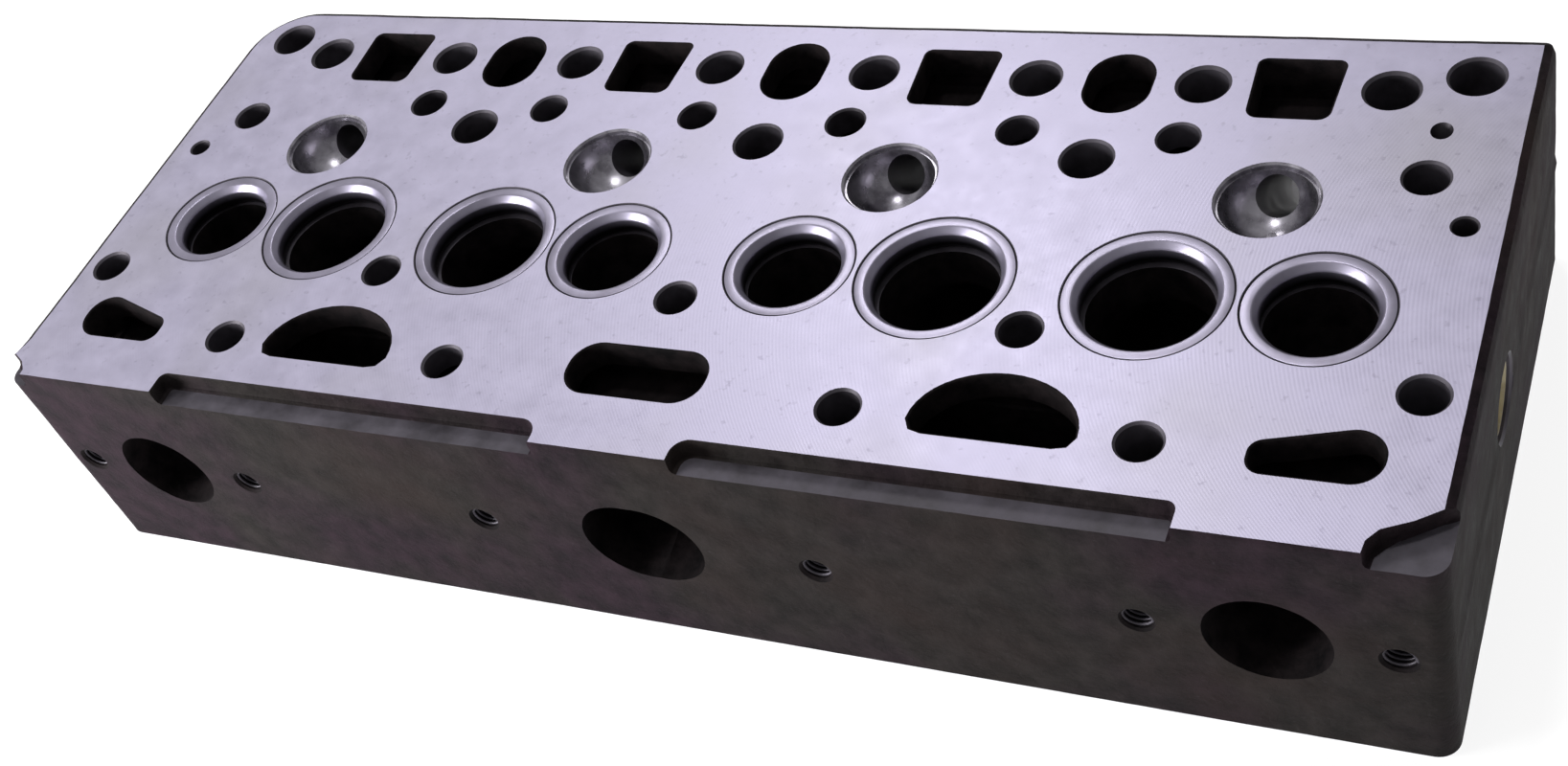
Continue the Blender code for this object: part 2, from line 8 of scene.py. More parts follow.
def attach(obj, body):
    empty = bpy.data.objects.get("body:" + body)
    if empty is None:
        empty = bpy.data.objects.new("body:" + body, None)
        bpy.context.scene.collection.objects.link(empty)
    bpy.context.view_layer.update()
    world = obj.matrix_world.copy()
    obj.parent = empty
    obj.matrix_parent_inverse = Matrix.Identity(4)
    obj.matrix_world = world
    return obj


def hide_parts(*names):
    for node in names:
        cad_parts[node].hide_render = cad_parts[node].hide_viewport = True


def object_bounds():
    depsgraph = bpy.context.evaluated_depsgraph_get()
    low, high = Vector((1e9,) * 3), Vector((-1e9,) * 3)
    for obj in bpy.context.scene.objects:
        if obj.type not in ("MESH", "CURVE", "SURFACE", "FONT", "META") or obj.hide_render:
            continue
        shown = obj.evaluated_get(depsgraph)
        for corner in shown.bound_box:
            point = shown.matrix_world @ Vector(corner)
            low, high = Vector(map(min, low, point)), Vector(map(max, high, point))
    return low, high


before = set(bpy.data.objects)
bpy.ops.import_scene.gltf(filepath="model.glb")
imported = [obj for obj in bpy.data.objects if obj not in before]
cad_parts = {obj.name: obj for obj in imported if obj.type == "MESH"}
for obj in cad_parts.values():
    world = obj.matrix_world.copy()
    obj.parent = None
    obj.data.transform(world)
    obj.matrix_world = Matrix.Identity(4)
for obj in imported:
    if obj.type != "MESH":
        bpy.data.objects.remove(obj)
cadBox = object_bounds()

mm = 0.001
headTop = cadBox[1][2] / mm  # height of the gasket deck, in millimetres like every size below
print("frame loaded with", len(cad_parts), "nodes")


# Node materials

black, white = (0.0, 0.0, 0.0), (1.0, 1.0, 1.0)


def startMaterial(name):
    material = bpy.data.materials.new(name)
    material.use_nodes = True
    tree = material.node_tree
    coordinates = tree.nodes.new("ShaderNodeTexCoord")
    return material, tree, tree.nodes["Principled BSDF"], coordinates.outputs["Object"]


def addNode(tree, kind, inputs=None, **settings):
    node = tree.nodes.new(kind)
    for key, value in settings.items():
        setattr(node, key, value)
    for key, value in (inputs or {}).items():
        if isinstance(value, bpy.types.NodeSocket):
            tree.links.new(value, node.inputs[key])
        else:
            node.inputs[key].default_value = value
    return node


def noiseOf(tree, vector, scale, detail=4.0, roughness=0.55, stretch=None):
    if stretch:
        mapping = {"Vector": vector, "Scale": (1.0, 1.0, stretch)}
        vector = addNode(tree, "ShaderNodeMapping", mapping).outputs[0]
    inputs = {"Vector": vector, "Scale": scale, "Detail": detail, "Roughness": roughness}
    return addNode(tree, "ShaderNodeTexNoise", inputs).outputs["Fac"]


def rampOf(tree, factor, colours, positions=(0.35, 0.65)):
    ramp = addNode(tree, "ShaderNodeValToRGB", {"Fac": factor})
    for stop, colour, position in zip(ramp.color_ramp.elements, colours, positions):
        stop.position = position
        stop.color = (*colour, 1.0)
    return ramp.outputs["Color"]


def mixColours(tree, factor, first, second, blend="MIX"):
    node = addNode(tree, "ShaderNodeMix", data_type="RGBA", blend_type=blend)
    for socket, value in ((node.inputs[0], factor), (node.inputs[6], first), (node.inputs[7], second)):
        if isinstance(value, bpy.types.NodeSocket):
            tree.links.new(value, socket)
        else:
            socket.default_value = value if isinstance(value, float) else (*value, 1.0)
    return node.outputs[2]


def rangeOf(tree, factor, low, high, fromLow=0.3, fromHigh=0.7):
    inputs = {0: factor, 1: fromLow, 2: fromHigh, 3: low, 4: high}
    return addNode(tree, "ShaderNodeMapRange", inputs).outputs[0]


def mathOf(tree, operation, first, second=0.0):
    return addNode(tree, "ShaderNodeMath", {0: first, 1: second}, operation=operation).outputs[0]


def bumpOf(tree, height, strength, distance, below=None):
    inputs = {"Height": height, "Strength": strength, "Distance": distance}
    if below:
        inputs["Normal"] = below
    return addNode(tree, "ShaderNodeBump", inputs).outputs[0]


def heightOf(tree, place):
    return addNode(tree, "ShaderNodeSeparateXYZ", {0: place}).outputs[2]


def finishShader(tree, shader, colour, metallic, roughness, normal):
    tree.links.new(colour, shader.inputs["Base Color"])
    shader.inputs["Metallic"].default_value = metallic
    tree.links.new(roughness, shader.inputs["Roughness"])
    tree.links.new(normal, shader.inputs["Normal"])


milled = {
    "pale": ((0.455, 0.428, 0.560), (0.535, 0.505, 0.650)),
    "aged": (0.420, 0.402, 0.440),
    "speck": (0.45, 0.43, 0.47),
    "speckShare": 0.3,
    "metallic": 0.72,
    "roughness": (0.40, 0.52),
    "cutterRadius": 0.125,
    "feedStep": 0.0011,
}


def machinedIron():
    # Face-milled iron: pale, with sweeping cutter arcs, mottled by handling and storage.
    material, tree, shader, place = startMaterial("machinedIron")
    x, y = addNode(tree, "ShaderNodeSeparateXYZ", {0: place}).outputs[:2]
    span = mathOf(tree, "SUBTRACT", milled["cutterRadius"] ** 2, mathOf(tree, "POWER", y, 2.0))
    feed = mathOf(tree, "ADD", x, mathOf(tree, "SQRT", span))
    arcs = mathOf(tree, "SINE", mathOf(tree, "MULTIPLY", feed, math.tau / milled["feedStep"]))
    grain = noiseOf(tree, place, 900.0, 3.0)
    mottle = noiseOf(tree, place, 95.0, 6.0, 0.65)
    cloud = noiseOf(tree, place, 11.0, 3.0, 0.5)
    pale = rampOf(tree, mottle, milled["pale"], (0.30, 0.70))
    aged = mixColours(tree, rangeOf(tree, cloud, 0.0, 0.6, 0.50, 0.72), pale, milled["aged"])
    specks = rampOf(tree, noiseOf(tree, place, 420.0, 2.0), (milled["speck"], white), (0.26, 0.36))
    colour = mixColours(tree, milled["speckShare"], aged, specks, "MULTIPLY")
    normal = bumpOf(tree, grain, 0.12, 0.00006, bumpOf(tree, arcs, 0.10, 0.00004))
    roughness = rangeOf(tree, mottle, *milled["roughness"])
    finishShader(tree, shader, colour, milled["metallic"], roughness, normal)
    return material


sandCast = {
    "pits": ((0.010, 0.0065, 0.0090), (0.011, 0.0092, 0.0088)),
    "tops": ((0.028, 0.0178, 0.0240), (0.027, 0.0230, 0.0225)),
    "rust": (0.030, 0.017, 0.015),
    "worn": (0.070, 0.060, 0.068),
    "wornShare": 0.3,
    "metallic": 0.1,
    "specular": 0.06,
    "roughness": (0.62, 0.85),
}


def roughCastIron():
    # Sand-cast skin under a worn dark coat, darker in the hollows of its lumps, bare on the high spots of
    # the sand, and a little rusty in patches.
    material, tree, shader, place = startMaterial("roughCastIron")
    sand = noiseOf(tree, place, 520.0, 6.0, 0.7)
    lumps = noiseOf(tree, place, 120.0, 5.0, 0.6)
    cloud = noiseOf(tree, place, 16.0, 4.0)
    tint = rangeOf(tree, noiseOf(tree, place, 13.0, 3.0, 0.5), 0.0, 1.0, 0.42, 0.58)
    pits = mixColours(tree, tint, *sandCast["pits"])
    tops = mixColours(tree, tint, *sandCast["tops"])
    dark = mixColours(tree, rangeOf(tree, lumps, 0.0, 1.0, 0.34, 0.66), pits, tops)
    rusty = mixColours(tree, rangeOf(tree, cloud, 0.0, 0.4, 0.52, 0.74), dark, sandCast["rust"])
    bare = rampOf(tree, sand, (black, white), (0.62, 0.74))
    share = mathOf(tree, "MULTIPLY", bare, sandCast["wornShare"])
    colour = mixColours(tree, share, rusty, sandCast["worn"])
    shader.inputs["Specular IOR Level"].default_value = sandCast["specular"]
    normal = bumpOf(tree, sand, 0.8, 0.00030, bumpOf(tree, lumps, 0.8, 0.00075))
    roughness = rangeOf(tree, lumps, *sandCast["roughness"])
    finishShader(tree, shader, colour, sandCast["metallic"], roughness, normal)
    return material


bored = {
    "colours": ((0.030, 0.026, 0.032), (0.130, 0.118, 0.145)),
    "metallic": 0.5,
    "roughness": (0.42, 0.66),
    "ringStretch": 34.0,
}


def boredIron():
    # Drilled and bored walls: turned rings, darker than the deck, oily.
    material, tree, shader, place = startMaterial("boredIron")
    rings = noiseOf(tree, place, 60.0, 3.0, 0.6, bored["ringStretch"])
    stain = noiseOf(tree, place, 70.0, 5.0, 0.6)
    colour = rampOf(tree, stain, bored["colours"], (0.30, 0.78))
    roughness = rangeOf(tree, stain, *bored["roughness"])
    finishShader(tree, shader, colour, bored["metallic"], roughness, bumpOf(tree, rings, 0.25, 0.00010))
    return material


sootAndShade = {
    # painted shade: these nearly black colours stand for the shade deep in ports, holes and jacket spaces,
    # over a little soot
    "colours": ((0.003, 0.0025, 0.003), (0.016, 0.012, 0.013)),
    "metallic": 0.05,
    "specular": 0.08,
    "roughness": (0.70, 0.92),
}


def sootAndShadeIron():
    # As-cast port and water jacket walls, matt and nearly black: a little soot, darkened further with
    # painted shade for the deep ports, holes and jacket spaces.
    material, tree, shader, place = startMaterial("sootAndShadeIron")
    sootAndShadeMottle = noiseOf(tree, place, 150.0, 6.0, 0.65)
    sand = noiseOf(tree, place, 600.0, 4.0, 0.6)
    shader.inputs["Specular IOR Level"].default_value = sootAndShade["specular"]
    # painted shade: the walls take the nearly black soot-and-shade colours
    colour = rampOf(tree, sootAndShadeMottle, sootAndShade["colours"])
    roughness = rangeOf(tree, sootAndShadeMottle, *sootAndShade["roughness"])
    finishShader(tree, shader, colour, sootAndShade["metallic"], roughness, bumpOf(tree, sand, 0.5, 0.00030))
    return material


ballCut = {
    "colours": ((0.13, 0.12, 0.145), (0.47, 0.45, 0.505)),
    "metallic": 0.9,
    "roughness": (0.22, 0.34),
    "ringStretch": 26.0,
}


def chamberIron():
    # Swirl chamber bowls, ball-cut to a bright finish with fine rings.
    material, tree, shader, place = startMaterial("chamberIron")
    rings = noiseOf(tree, place, 50.0, 2.0, 0.5, ballCut["ringStretch"])
    smoke = noiseOf(tree, place, 130.0, 4.0, 0.6)
    colour = rampOf(tree, smoke, ballCut["colours"], (0.30, 0.66))
    roughness = rangeOf(tree, smoke, *ballCut["roughness"])
    finishShader(tree, shader, colour, ballCut["metallic"], roughness, bumpOf(tree, rings, 0.15, 0.00008))
    return material


ground = {
    "bright": ((0.27, 0.25, 0.32), (0.40, 0.375, 0.48)),
    "sootAndShade": (0.022, 0.019, 0.024),
    # painted shade: below this height band, down in the throat, the seat takes the dark soot-and-shade
    # colour
    "sootAndShadeBand": (0.0788, 0.0816),
    "metallic": 0.95,
    "roughness": (0.33, 0.45),
    "ringStretch": 30.0,
}


def groundSteel():
    # Valve seat rings: hard steel, ground bright on the 45 degree face, sooty below it and painted dark
    # there as shade in the throat.
    material, tree, shader, place = startMaterial("groundSteel")
    rings = noiseOf(tree, place, 90.0, 2.0, 0.5, ground["ringStretch"])
    heat = noiseOf(tree, place, 45.0, 4.0, 0.6)
    aboveSootAndShade = rangeOf(tree, heightOf(tree, place), 0.0, 1.0, *ground["sootAndShadeBand"])
    # painted shade: the seat's lower part, in the throat, is darkened as well as sooty
    colour = mixColours(tree, aboveSootAndShade, ground["sootAndShade"], rampOf(tree, heat, ground["bright"], (0.30, 0.66)))
    roughness = rangeOf(tree, heat, *ground["roughness"])
    finishShader(tree, shader, colour, ground["metallic"], roughness, bumpOf(tree, rings, 0.10, 0.00005))
    return material


turned = {
    "colours": ((0.13, 0.125, 0.125), (0.27, 0.26, 0.265)),
    "blued": (0.055, 0.050, 0.060),
    "bluedShare": 0.8,
    "bluedBand": (0.020, 0.042),
    "metallic": 0.85,
    "roughness": (0.34, 0.55),
    "ringStretch": 22.0,
}


def guideIron():
    # Valve guides: turned close-grained iron, blued by heat at the port end.
    material, tree, shader, place = startMaterial("guideIron")
    rings = noiseOf(tree, place, 80.0, 3.0, 0.6, turned["ringStretch"])
    stain = noiseOf(tree, place, 110.0, 4.0, 0.6)
    heated = rangeOf(tree, heightOf(tree, place), 0.0, turned["bluedShare"], *turned["bluedBand"])
    colour = mixColours(tree, heated, rampOf(tree, stain, turned["colours"]), turned["blued"])
    roughness = rangeOf(tree, stain, *turned["roughness"])
    finishShader(tree, shader, colour, turned["metallic"], roughness, bumpOf(tree, rings, 0.2, 0.00008))
    return material


plating = {
    "colours": ((0.40, 0.34, 0.20), (0.66, 0.60, 0.44)),
    "rubbed": (0.60, 0.60, 0.62),
    "rubbedShare": 0.5,
    "metallic": 0.9,
    "roughness": (0.26, 0.50),
}


def platedSteel():
    # Core plugs: pressed steel under thin yellow plating, rubbed through in places.
    material, tree, shader, place = startMaterial("platedSteel")
    blotch = noiseOf(tree, place, 140.0, 5.0, 0.6)
    scuff = noiseOf(tree, place, 700.0, 3.0, 0.6)
    plated = rampOf(tree, blotch, plating["colours"], (0.28, 0.70))
    bare = rampOf(tree, scuff, (black, white), (0.58, 0.70))
    share = mathOf(tree, "MULTIPLY", bare, plating["rubbedShare"])
    colour = mixColours(tree, share, plated, plating["rubbed"])
    roughness = rangeOf(tree, blotch, *plating["roughness"])
    finishShader(tree, shader, colour, plating["metallic"], roughness, bumpOf(tree, scuff, 0.15, 0.00010))
    return material


castingSkins = [roughCastIron(), machinedIron(), boredIron(), sootAndShadeIron(), chamberIron()]
roughSkin, milledSkin, boredSkin, sootAndShadeSkin, bowlSkin = range(5)
print("materials ready")


# Mesh makers: everything is given in millimetres

up = (0.0, 0.0, 1.0)


def meshObject(name, bm, materials):
    bmesh.ops.recalc_face_normals(bm, faces=bm.faces)
    mesh = bpy.data.meshes.new(name)
    bm.to_mesh(mesh)
    bm.free()
    for material in materials:
        mesh.materials.append(material)
    made = bpy.data.objects.new(name, mesh)
    bpy.context.scene.collection.objects.link(made)
    return made


def loft(bm, rings, skin, levelSkins=None):
    # A closed solid through rings of points, with a flat cap at each end.
    verts = [[bm.verts.new(Vector(point) * mm) for point in ring] for ring in rings]
    caps = [bm.faces.new(verts[0]), bm.faces.new(verts[-1])]
    for level, (ring, after) in enumerate(zip(verts, verts[1:])):
        for index in range(len(ring)):
            turn = (index + 1) % len(ring)
            face = bm.faces.new((ring[index], ring[turn], after[turn], after[index]))
            face.material_index = levelSkins[level] if levelSkins else skin
    for cap in caps:
        cap.material_index = skin


def turnedSolid(bm, foot, axis, profile, sides, skin):
    # Turns (radius, distance) points about an axis that starts at foot.
    turn = Vector(axis).to_track_quat("Z", "Y")
    rings = []
    for radius, reach in profile:
        ring = []
        for step in range(sides):
            angle = math.tau * (step + 0.5) / sides
            spot = Vector((radius * math.cos(angle), radius * math.sin(angle), reach))
            ring.append(Vector(foot) + turn @ spot)
        rings.append(ring)
    loft(bm, rings, skin)


def uprightSolid(bm, x, y, profile, sides, skin):
    # The same about a vertical line, with (radius, height) points.
    turnedSolid(bm, (x, y, 0.0), up, profile, sides, skin)


def roundedOutline(corners, turnStep=7.5, spacing=None):
    # Anticlockwise (x, y, radius) corners as points, with the straights split if asked.
    points = []
    for index, (x, y, radius) in enumerate(corners):
        here = Vector((x, y))
        before = (Vector(corners[index - 1][:2]) - here).normalized()
        after = (Vector(corners[(index + 1) % len(corners)][:2]) - here).normalized()
        half = before.angle(after) / 2.0
        centre = here + (before + after).normalized() * radius / math.sin(half)
        first = here + before * radius / math.tan(half) - centre
        sweep = math.pi - 2.0 * half
        steps = max(1, round(math.degrees(sweep) / turnStep))
        points += [centre + Matrix.Rotation(sweep * step / steps, 2) @ first for step in range(steps + 1)]
    if not spacing:
        return points
    split = []
    for point, after in zip(points, points[1:] + points[:1]):
        parts = max(1, round((after - point).length / spacing))
        split += [point.lerp(after, part / parts) for part in range(parts)]
    return split


def rectangleOf(x0, x1, y0, y1, corner):
    return ((x0, y0, corner), (x1, y0, corner), (x1, y1, corner), (x0, y1, corner))


def mirroredX(outline):
    return [Vector((-point[0], point[1])) for point in reversed(outline)]


def normalsOf(outline):
    # Outward directions at each point of an anticlockwise outline, longer at corners.
    normals = []
    for index, point in enumerate(outline):
        before = (point - outline[index - 1]).normalized()
        after = (outline[(index + 1) % len(outline)] - point).normalized()
        first, second = Vector((before.y, -before.x)), Vector((after.y, -after.x))
        middle = (first + second).normalized()
        normals.append(middle / max(0.5, middle.dot(first)))
    return normals


def outlineSolid(bm, outline, levels, skin, levelSkins=None):
    # Draws an outline through (height, outward growth) levels.
    normals = normalsOf(outline)
    rings = []
    for height, growth in levels:
        rings.append([(*(point + normal * growth), height) for point, normal in zip(outline, normals)])
    loft(bm, rings, skin, levelSkins)


def coredSpace(bm, xSpan, ySpan, zSpan, edge=1.5):
    # A cored space of the water jacket, with rounded upright edges.
    levels = ((zSpan[0], -edge), (zSpan[0] + edge, 0.0), (zSpan[1] - edge, 0.0), (zSpan[1], -edge))
    outline = roundedOutline(rectangleOf(*sorted(xSpan), *sorted(ySpan), edge), 30.0)
    outlineSolid(bm, outline, levels, sootAndShadeSkin)


def smoothStations(stations, between=4):
    # Catmull-Rom through (x, y, z, half width, half height) stations.
    padded = [stations[0]] + list(stations) + [stations[-1]]
    made = []
    for index in range(1, len(padded) - 2):
        a, b, c, d = padded[index - 1: index + 3]
        for step in range(between):
            t = step / between
            weights = (
                -0.5 * t + t * t - 0.5 * t ** 3,
                1.0 - 2.5 * t * t + 1.5 * t ** 3,
                0.5 * t + 2.0 * t * t - 1.5 * t ** 3,
                -0.5 * t * t + 0.5 * t ** 3,
            )
            groups = zip(a, b, c, d)
            made.append([sum(w * value for w, value in zip(weights, group)) for group in groups])
    made.append(list(stations[-1]))
    return made


def passageSolid(bm, stations, sides, skin):
    # An oval passage through stations.
    stations = smoothStations(stations)
    centres = [Vector(station[:3]) for station in stations]
    rings = []
    for index, station in enumerate(stations):
        forward = centres[min(index + 1, len(centres) - 1)] - centres[max(index - 1, 0)]
        forward.normalize()
        side = (Vector((1.0, 0.0, 0.0)) - forward * forward.x).normalized()
        rise = forward.cross(side)
        ring = []
        for step in range(sides):
            angle = math.tau * step / sides
            offset = side * math.cos(angle) * station[3] + rise * math.sin(angle) * station[4]
            ring.append(centres[index] + offset)
        rings.append(ring)
    loft(bm, rings, skin)


# The casting: a sand-cast block, then every cut that the foundry cores and the machine shop make

casting = {
    "length": 445.0,
    "width": 180.0,
    "exhaustCorner": 6.0,
    "frontCorner": 22.0,
    "rearCorner": 3.0,
    "wallSpacing": 3.2,
    "courseHeight": 2.9,
    "edgeBreak": 2.6,
    "machinedBreak": 0.35,
    "machinedReach": 14.0,
    "machinedFade": 8.0,
    "skinWave": 0.22,
    "waves": ((0.035, 0.7), (0.21, 0.5)),
    "skinInset": 0.12,
    "flashHeight": 0.45,
    "flashLevel": 40.0,
    "flashWidth": 0.9,
}


def courseHeights():
    # Levels of the block's walls, closer together at the two faces.
    courses = [step * casting["courseHeight"] + 2.4 for step in range(28)]
    heights = [0.0, 0.5, *courses, headTop - 1.0, headTop]
    return sorted(set(round(height, 3) for height in heights if height <= headTop))


def wallGrowth(point, height):
    # How far the sand-cast wall stands out: slow waves, the parting line, and broken edges.
    spot = Vector((point.x, point.y, height))
    growth = -casting["skinInset"]
    for scale, share in casting["waves"]:
        growth += noise.noise(spot * scale) * casting["skinWave"] * share
    machinedEnd = casting["machinedReach"] - casting["width"] / 2.0
    exhaustSide = min(1.0, max(0.0, (machinedEnd - point.y) / casting["machinedFade"]))
    offFlash = (height - casting["flashLevel"]) / casting["flashWidth"]
    growth += math.exp(-(offFlash ** 2)) * casting["flashHeight"] * (1.0 - exhaustSide)
    growth *= 0.3 + 0.7 * min(1.0, height / 2.0)
    edge = casting["edgeBreak"] * (1.0 - exhaustSide) + casting["machinedBreak"]
    down = headTop - height
    if down < edge:
        growth -= edge * (1.0 - math.sqrt(max(0.0, 1.0 - (1.0 - down / edge) ** 2)))
    if height < 0.4:
        growth -= 0.4
    return growth


def castBlock():
    halfX, halfY = casting["length"] / 2.0, casting["width"] / 2.0
    corners = (
        (-halfX, -halfY, casting["exhaustCorner"]),
        (halfX, -halfY, casting["exhaustCorner"]),
        (halfX, halfY, casting["rearCorner"]),
        (-halfX, halfY, casting["frontCorner"]),
    )
    outline = roundedOutline(corners, 10.0, casting["wallSpacing"])
    normals = normalsOf(outline)
    rings = []
    for height in courseHeights():
        ring = []
        for point, normal in zip(outline, normals):
            growth = wallGrowth(point, height)
            ring.append((point.x + normal.x * growth, point.y + normal.y * growth, height))
        rings.append(ring)
    bm = bmesh.new()
    loft(bm, rings, milledSkin, [roughSkin] * len(rings))
    return meshObject("castingBody", bm, castingSkins)


body = castBlock()
tools = []


def cutAway(name, bm, operation="DIFFERENCE"):
    # Takes a closed solid out of the casting, or adds it.
    tool = meshObject(name, bm, castingSkins)
    boolean = body.modifiers.new(name, "BOOLEAN")
    boolean.operation = operation
    boolean.solver = "MANIFOLD"
    boolean.object = tool
    tools.append(tool)


deckOver, underFace = headTop + 3.0, -3.0  # a little past the deck and past the underside

# Ledges along the exhaust edge of the deck, and its two cut corners
ledges = {
    "floor": headTop - 5.5,
    "edge": -96.0,  # past the exhaust side
    "span": (22.0, 159.0),
    "back": -82.0,
    "rearCorner": ((228.0, -67.5), (222.0, -72.5), (213.0, -79.0), (206.5, -82.5), (204.0, -86.0)),
    "frontCorner": ((-213.8, -87.5), (-216.5, -84.5), (-221.0, -82.0), (-228.0, -79.5)),
}
edge, floor = ledges["edge"], ledges["floor"]
near, far = ledges["span"]
ledge = ((near, edge, 1.0), (far, edge, 1.0), (far, ledges["back"], 2.5), (near, ledges["back"], 5.0))
ledge = roundedOutline(ledge, 12.0, 6.0)
rearNotch = ((203.0, edge), (228.0, edge), *ledges["rearCorner"])
frontNotch = (*ledges["frontCorner"], (-228.0, edge), (-212.8, edge))
notches = [roundedOutline([(x, y, 1.0) for x, y in notch], 20.0) for notch in (rearNotch, frontNotch)]
levels = ((floor, -1.6), (floor + 0.5, -0.5), (floor + 1.7, 0.0), (headTop - 0.3, 0.0), (headTop, 0.3))
bm = bmesh.new()
for outline in (ledge, mirroredX(ledge), *notches):
    outlineSolid(bm, outline, (*levels, (deckOver, 0.3)), boredSkin, [roughSkin] * 5)
cutAway("deckLedges", bm)

# Rocker tray with its pads and bosses, all open to the underside
tray = {
    "span": (-199.6, 199.6, -45.8, 79.0),
    "corner": 24.0,
    "depth": 12.0,
    "padTop": 4.0,
    "middlePads": ((-121.4, -87.4), (-17.0, 17.0), (87.4, 121.4)),
    "endPads": ((-204.0, -182.0), (182.0, 204.0)),
    "padReach": (18.5, 48.5),
    "padCorner": 3.0,
    "bossTop": 5.0,
    "bossRadius": 10.4,
    "bossX": (-104.4, 0.0, 104.4),
    "bossY": -32.3,
}
trayRoof, padTop, bossTop = tray["depth"], tray["padTop"], tray["bossTop"]
outline = roundedOutline(rectangleOf(*tray["span"], tray["corner"]), 7.5, 8.0)
levels = ((underFace, 0.5), (0.0, 0.5), (0.6, 0.0), (trayRoof - 2.5, 0.0))
levels += ((trayRoof - 0.7, -0.8), (trayRoof, -2.6))
bm = bmesh.new()
outlineSolid(bm, outline, levels, roughSkin)
cutAway("rockerTray", bm)

levels = ((padTop, -0.5), (padTop + 0.5, 0.0), (trayRoof - 2.0, 0.3))
levels += ((trayRoof, 2.2), (trayRoof + 2.0, 2.2))
bm = bmesh.new()
for span in tray["middlePads"] + tray["endPads"]:
    outline = roundedOutline(rectangleOf(*span, *tray["padReach"], tray["padCorner"]), 15.0)
    outlineSolid(bm, outline, levels, milledSkin, [milledSkin] + [roughSkin] * 3)
cutAway("rockerPads", bm, "UNION")

radius = tray["bossRadius"]
profile = ((radius, bossTop), (radius + 0.6, bossTop + 0.6), (radius + 0.9, trayRoof - 2.0))
profile += ((radius + 2.6, trayRoof), (radius + 2.6, trayRoof + 2.0))
bm = bmesh.new()
for x in tray["bossX"]:
    uprightSolid(bm, x, tray["bossY"], profile, 40, roughSkin)
cutAway("rockerBosses", bm, "UNION")

# Water jacket: two galleries under the deck, wells that go down from them, and links between
jacket = {
    "floor": 24.0,
    "gallery": 68.0,
    "roof": 75.5,
    "nearGallery": ((-201.0, 201.0), (-71.0, -46.3)),
    "farGallery": ((-192.0, 192.0), (53.0, 78.0)),
    "middleWell": ((-14.0, 14.0), (54.0, 77.0)),
    "holeX": (-128.3, -80.6, -25.6, 25.6, 80.6, 128.3),
    "holeY": 43.7,
    "holeWell": 8.0,
    "holeWellY": (41.0, 55.0),
    "holeRadius": 6.0,
}
low, gallery, high = jacket["floor"], jacket["gallery"], jacket["roof"]
wells = (  # along, across and up, for the rear end and mirrored to the front
    ((44.0, 134.0), (-70.0, -47.0), (low, gallery + 3.5)),
    ((198.0, 214.0), (-26.0, 8.0), (low + 4.0, 66.0)),
    ((188.0, 213.0), (56.5, 63.5), (60.0, high - 0.5)),
)
links = (
    ((207.0, 213.5), (5.0, 60.0), (low + 5.0, 65.0)),
    ((196.5, 200.4), (-49.0, -23.0), (60.5, 73.5)),
)


def spacesAtBothEnds(bm, spaces):
    for side in (-1.0, 1.0):
        for (first, last), ySpan, zSpan in spaces:
            coredSpace(bm, (first * side, last * side), ySpan, zSpan)


bm = bmesh.new()
coredSpace(bm, *jacket["nearGallery"], (gallery, high))
coredSpace(bm, *jacket["farGallery"], (gallery, high))
cutAway("deckGalleries", bm)

bm = bmesh.new()
coredSpace(bm, *jacket["middleWell"], (low, gallery + 3.5))
spacesAtBothEnds(bm, wells)
for x in jacket["holeX"]:
    xSpan = (x - jacket["holeWell"], x + jacket["holeWell"])
    coredSpace(bm, xSpan, jacket["holeWellY"], (gallery + 0.5, high - 0.5))
cutAway("jacketWells", bm)

bm = bmesh.new()
spacesAtBothEnds(bm, links)
cutAway("jacketLinks", bm)

# Bosses that carry the bolt and pushrod holes through the jacket
bolts = {
    "places": (
        (0.0, 33.5, 15.0), (-104.4, 33.5, 15.0), (104.4, 33.5, 15.0),
        (-197.4, 33.0, 12.0), (197.4, 33.0, 12.0),
        (0.0, -32.3, 12.0), (-104.4, -32.3, 12.0), (104.4, -32.3, 12.0),
        (-209.3, -41.1, 12.0), (209.3, -41.1, 12.0),
        (-145.3, -65.0, 12.0), (-63.6, -65.0, 12.0), (63.6, -65.0, 12.0), (145.3, -65.0, 12.0),
    ),
    "chamfer": 0.7,
    "bossWall": 3.5,
}
pushrods = {
    "x": (-182.6, -130.0, -79.6, -27.0, 27.0, 79.6, 130.0, 182.6),
    "y": 66.5,
    "diameter": 14.6,
    "chamfer": 0.9,
    "bossRadius": 10.5,
}
bm = bmesh.new()
for x in pushrods["x"]:
    profile = ((pushrods["bossRadius"], gallery - 2.0), (pushrods["bossRadius"], high + 2.0))
    uprightSolid(bm, x, pushrods["y"], profile, 32, sootAndShadeSkin)
for x, y, diameter in bolts["places"]:
    if y < -60.0:
        radius = diameter / 2.0 + bolts["bossWall"]
        uprightSolid(bm, x, y, ((radius, low - 2.0), (radius, high + 2.0)), 32, sootAndShadeSkin)
cutAway("jacketBosses", bm, "UNION")

# Ports: each turns from its throat to a level run, then out through a side
ports = {
    "exhaustX": (-179.0, -30.0, 30.0, 179.0),
    "intakeX": (-134.5, -74.5, 74.5, 134.5),
    "valveY": -16.0,
    "level": 42.0,
    "bend": 22.5,
    "exhaustThroat": 29.2,
    "intakeThroat": 36.6,
    "exhaustMouth": 33.0,
    "intakeTall": 18.0,
    "pairX": 104.5,
    "past": 92.0,  # a little past the sides
    "sides": 48,
}


def elbowStations(x, towards, radius):
    made = [(x, ports["valveY"], headTop - 4.0, radius, radius)]
    for degrees in (0.0, 22.5, 45.0, 67.5, 90.0):
        angle = math.radians(degrees)
        y = ports["valveY"] + towards * ports["bend"] * (1.0 - math.cos(angle))
        made.append((x, y, ports["level"] + ports["bend"] * (1.0 - math.sin(angle)), radius, radius))
    return made


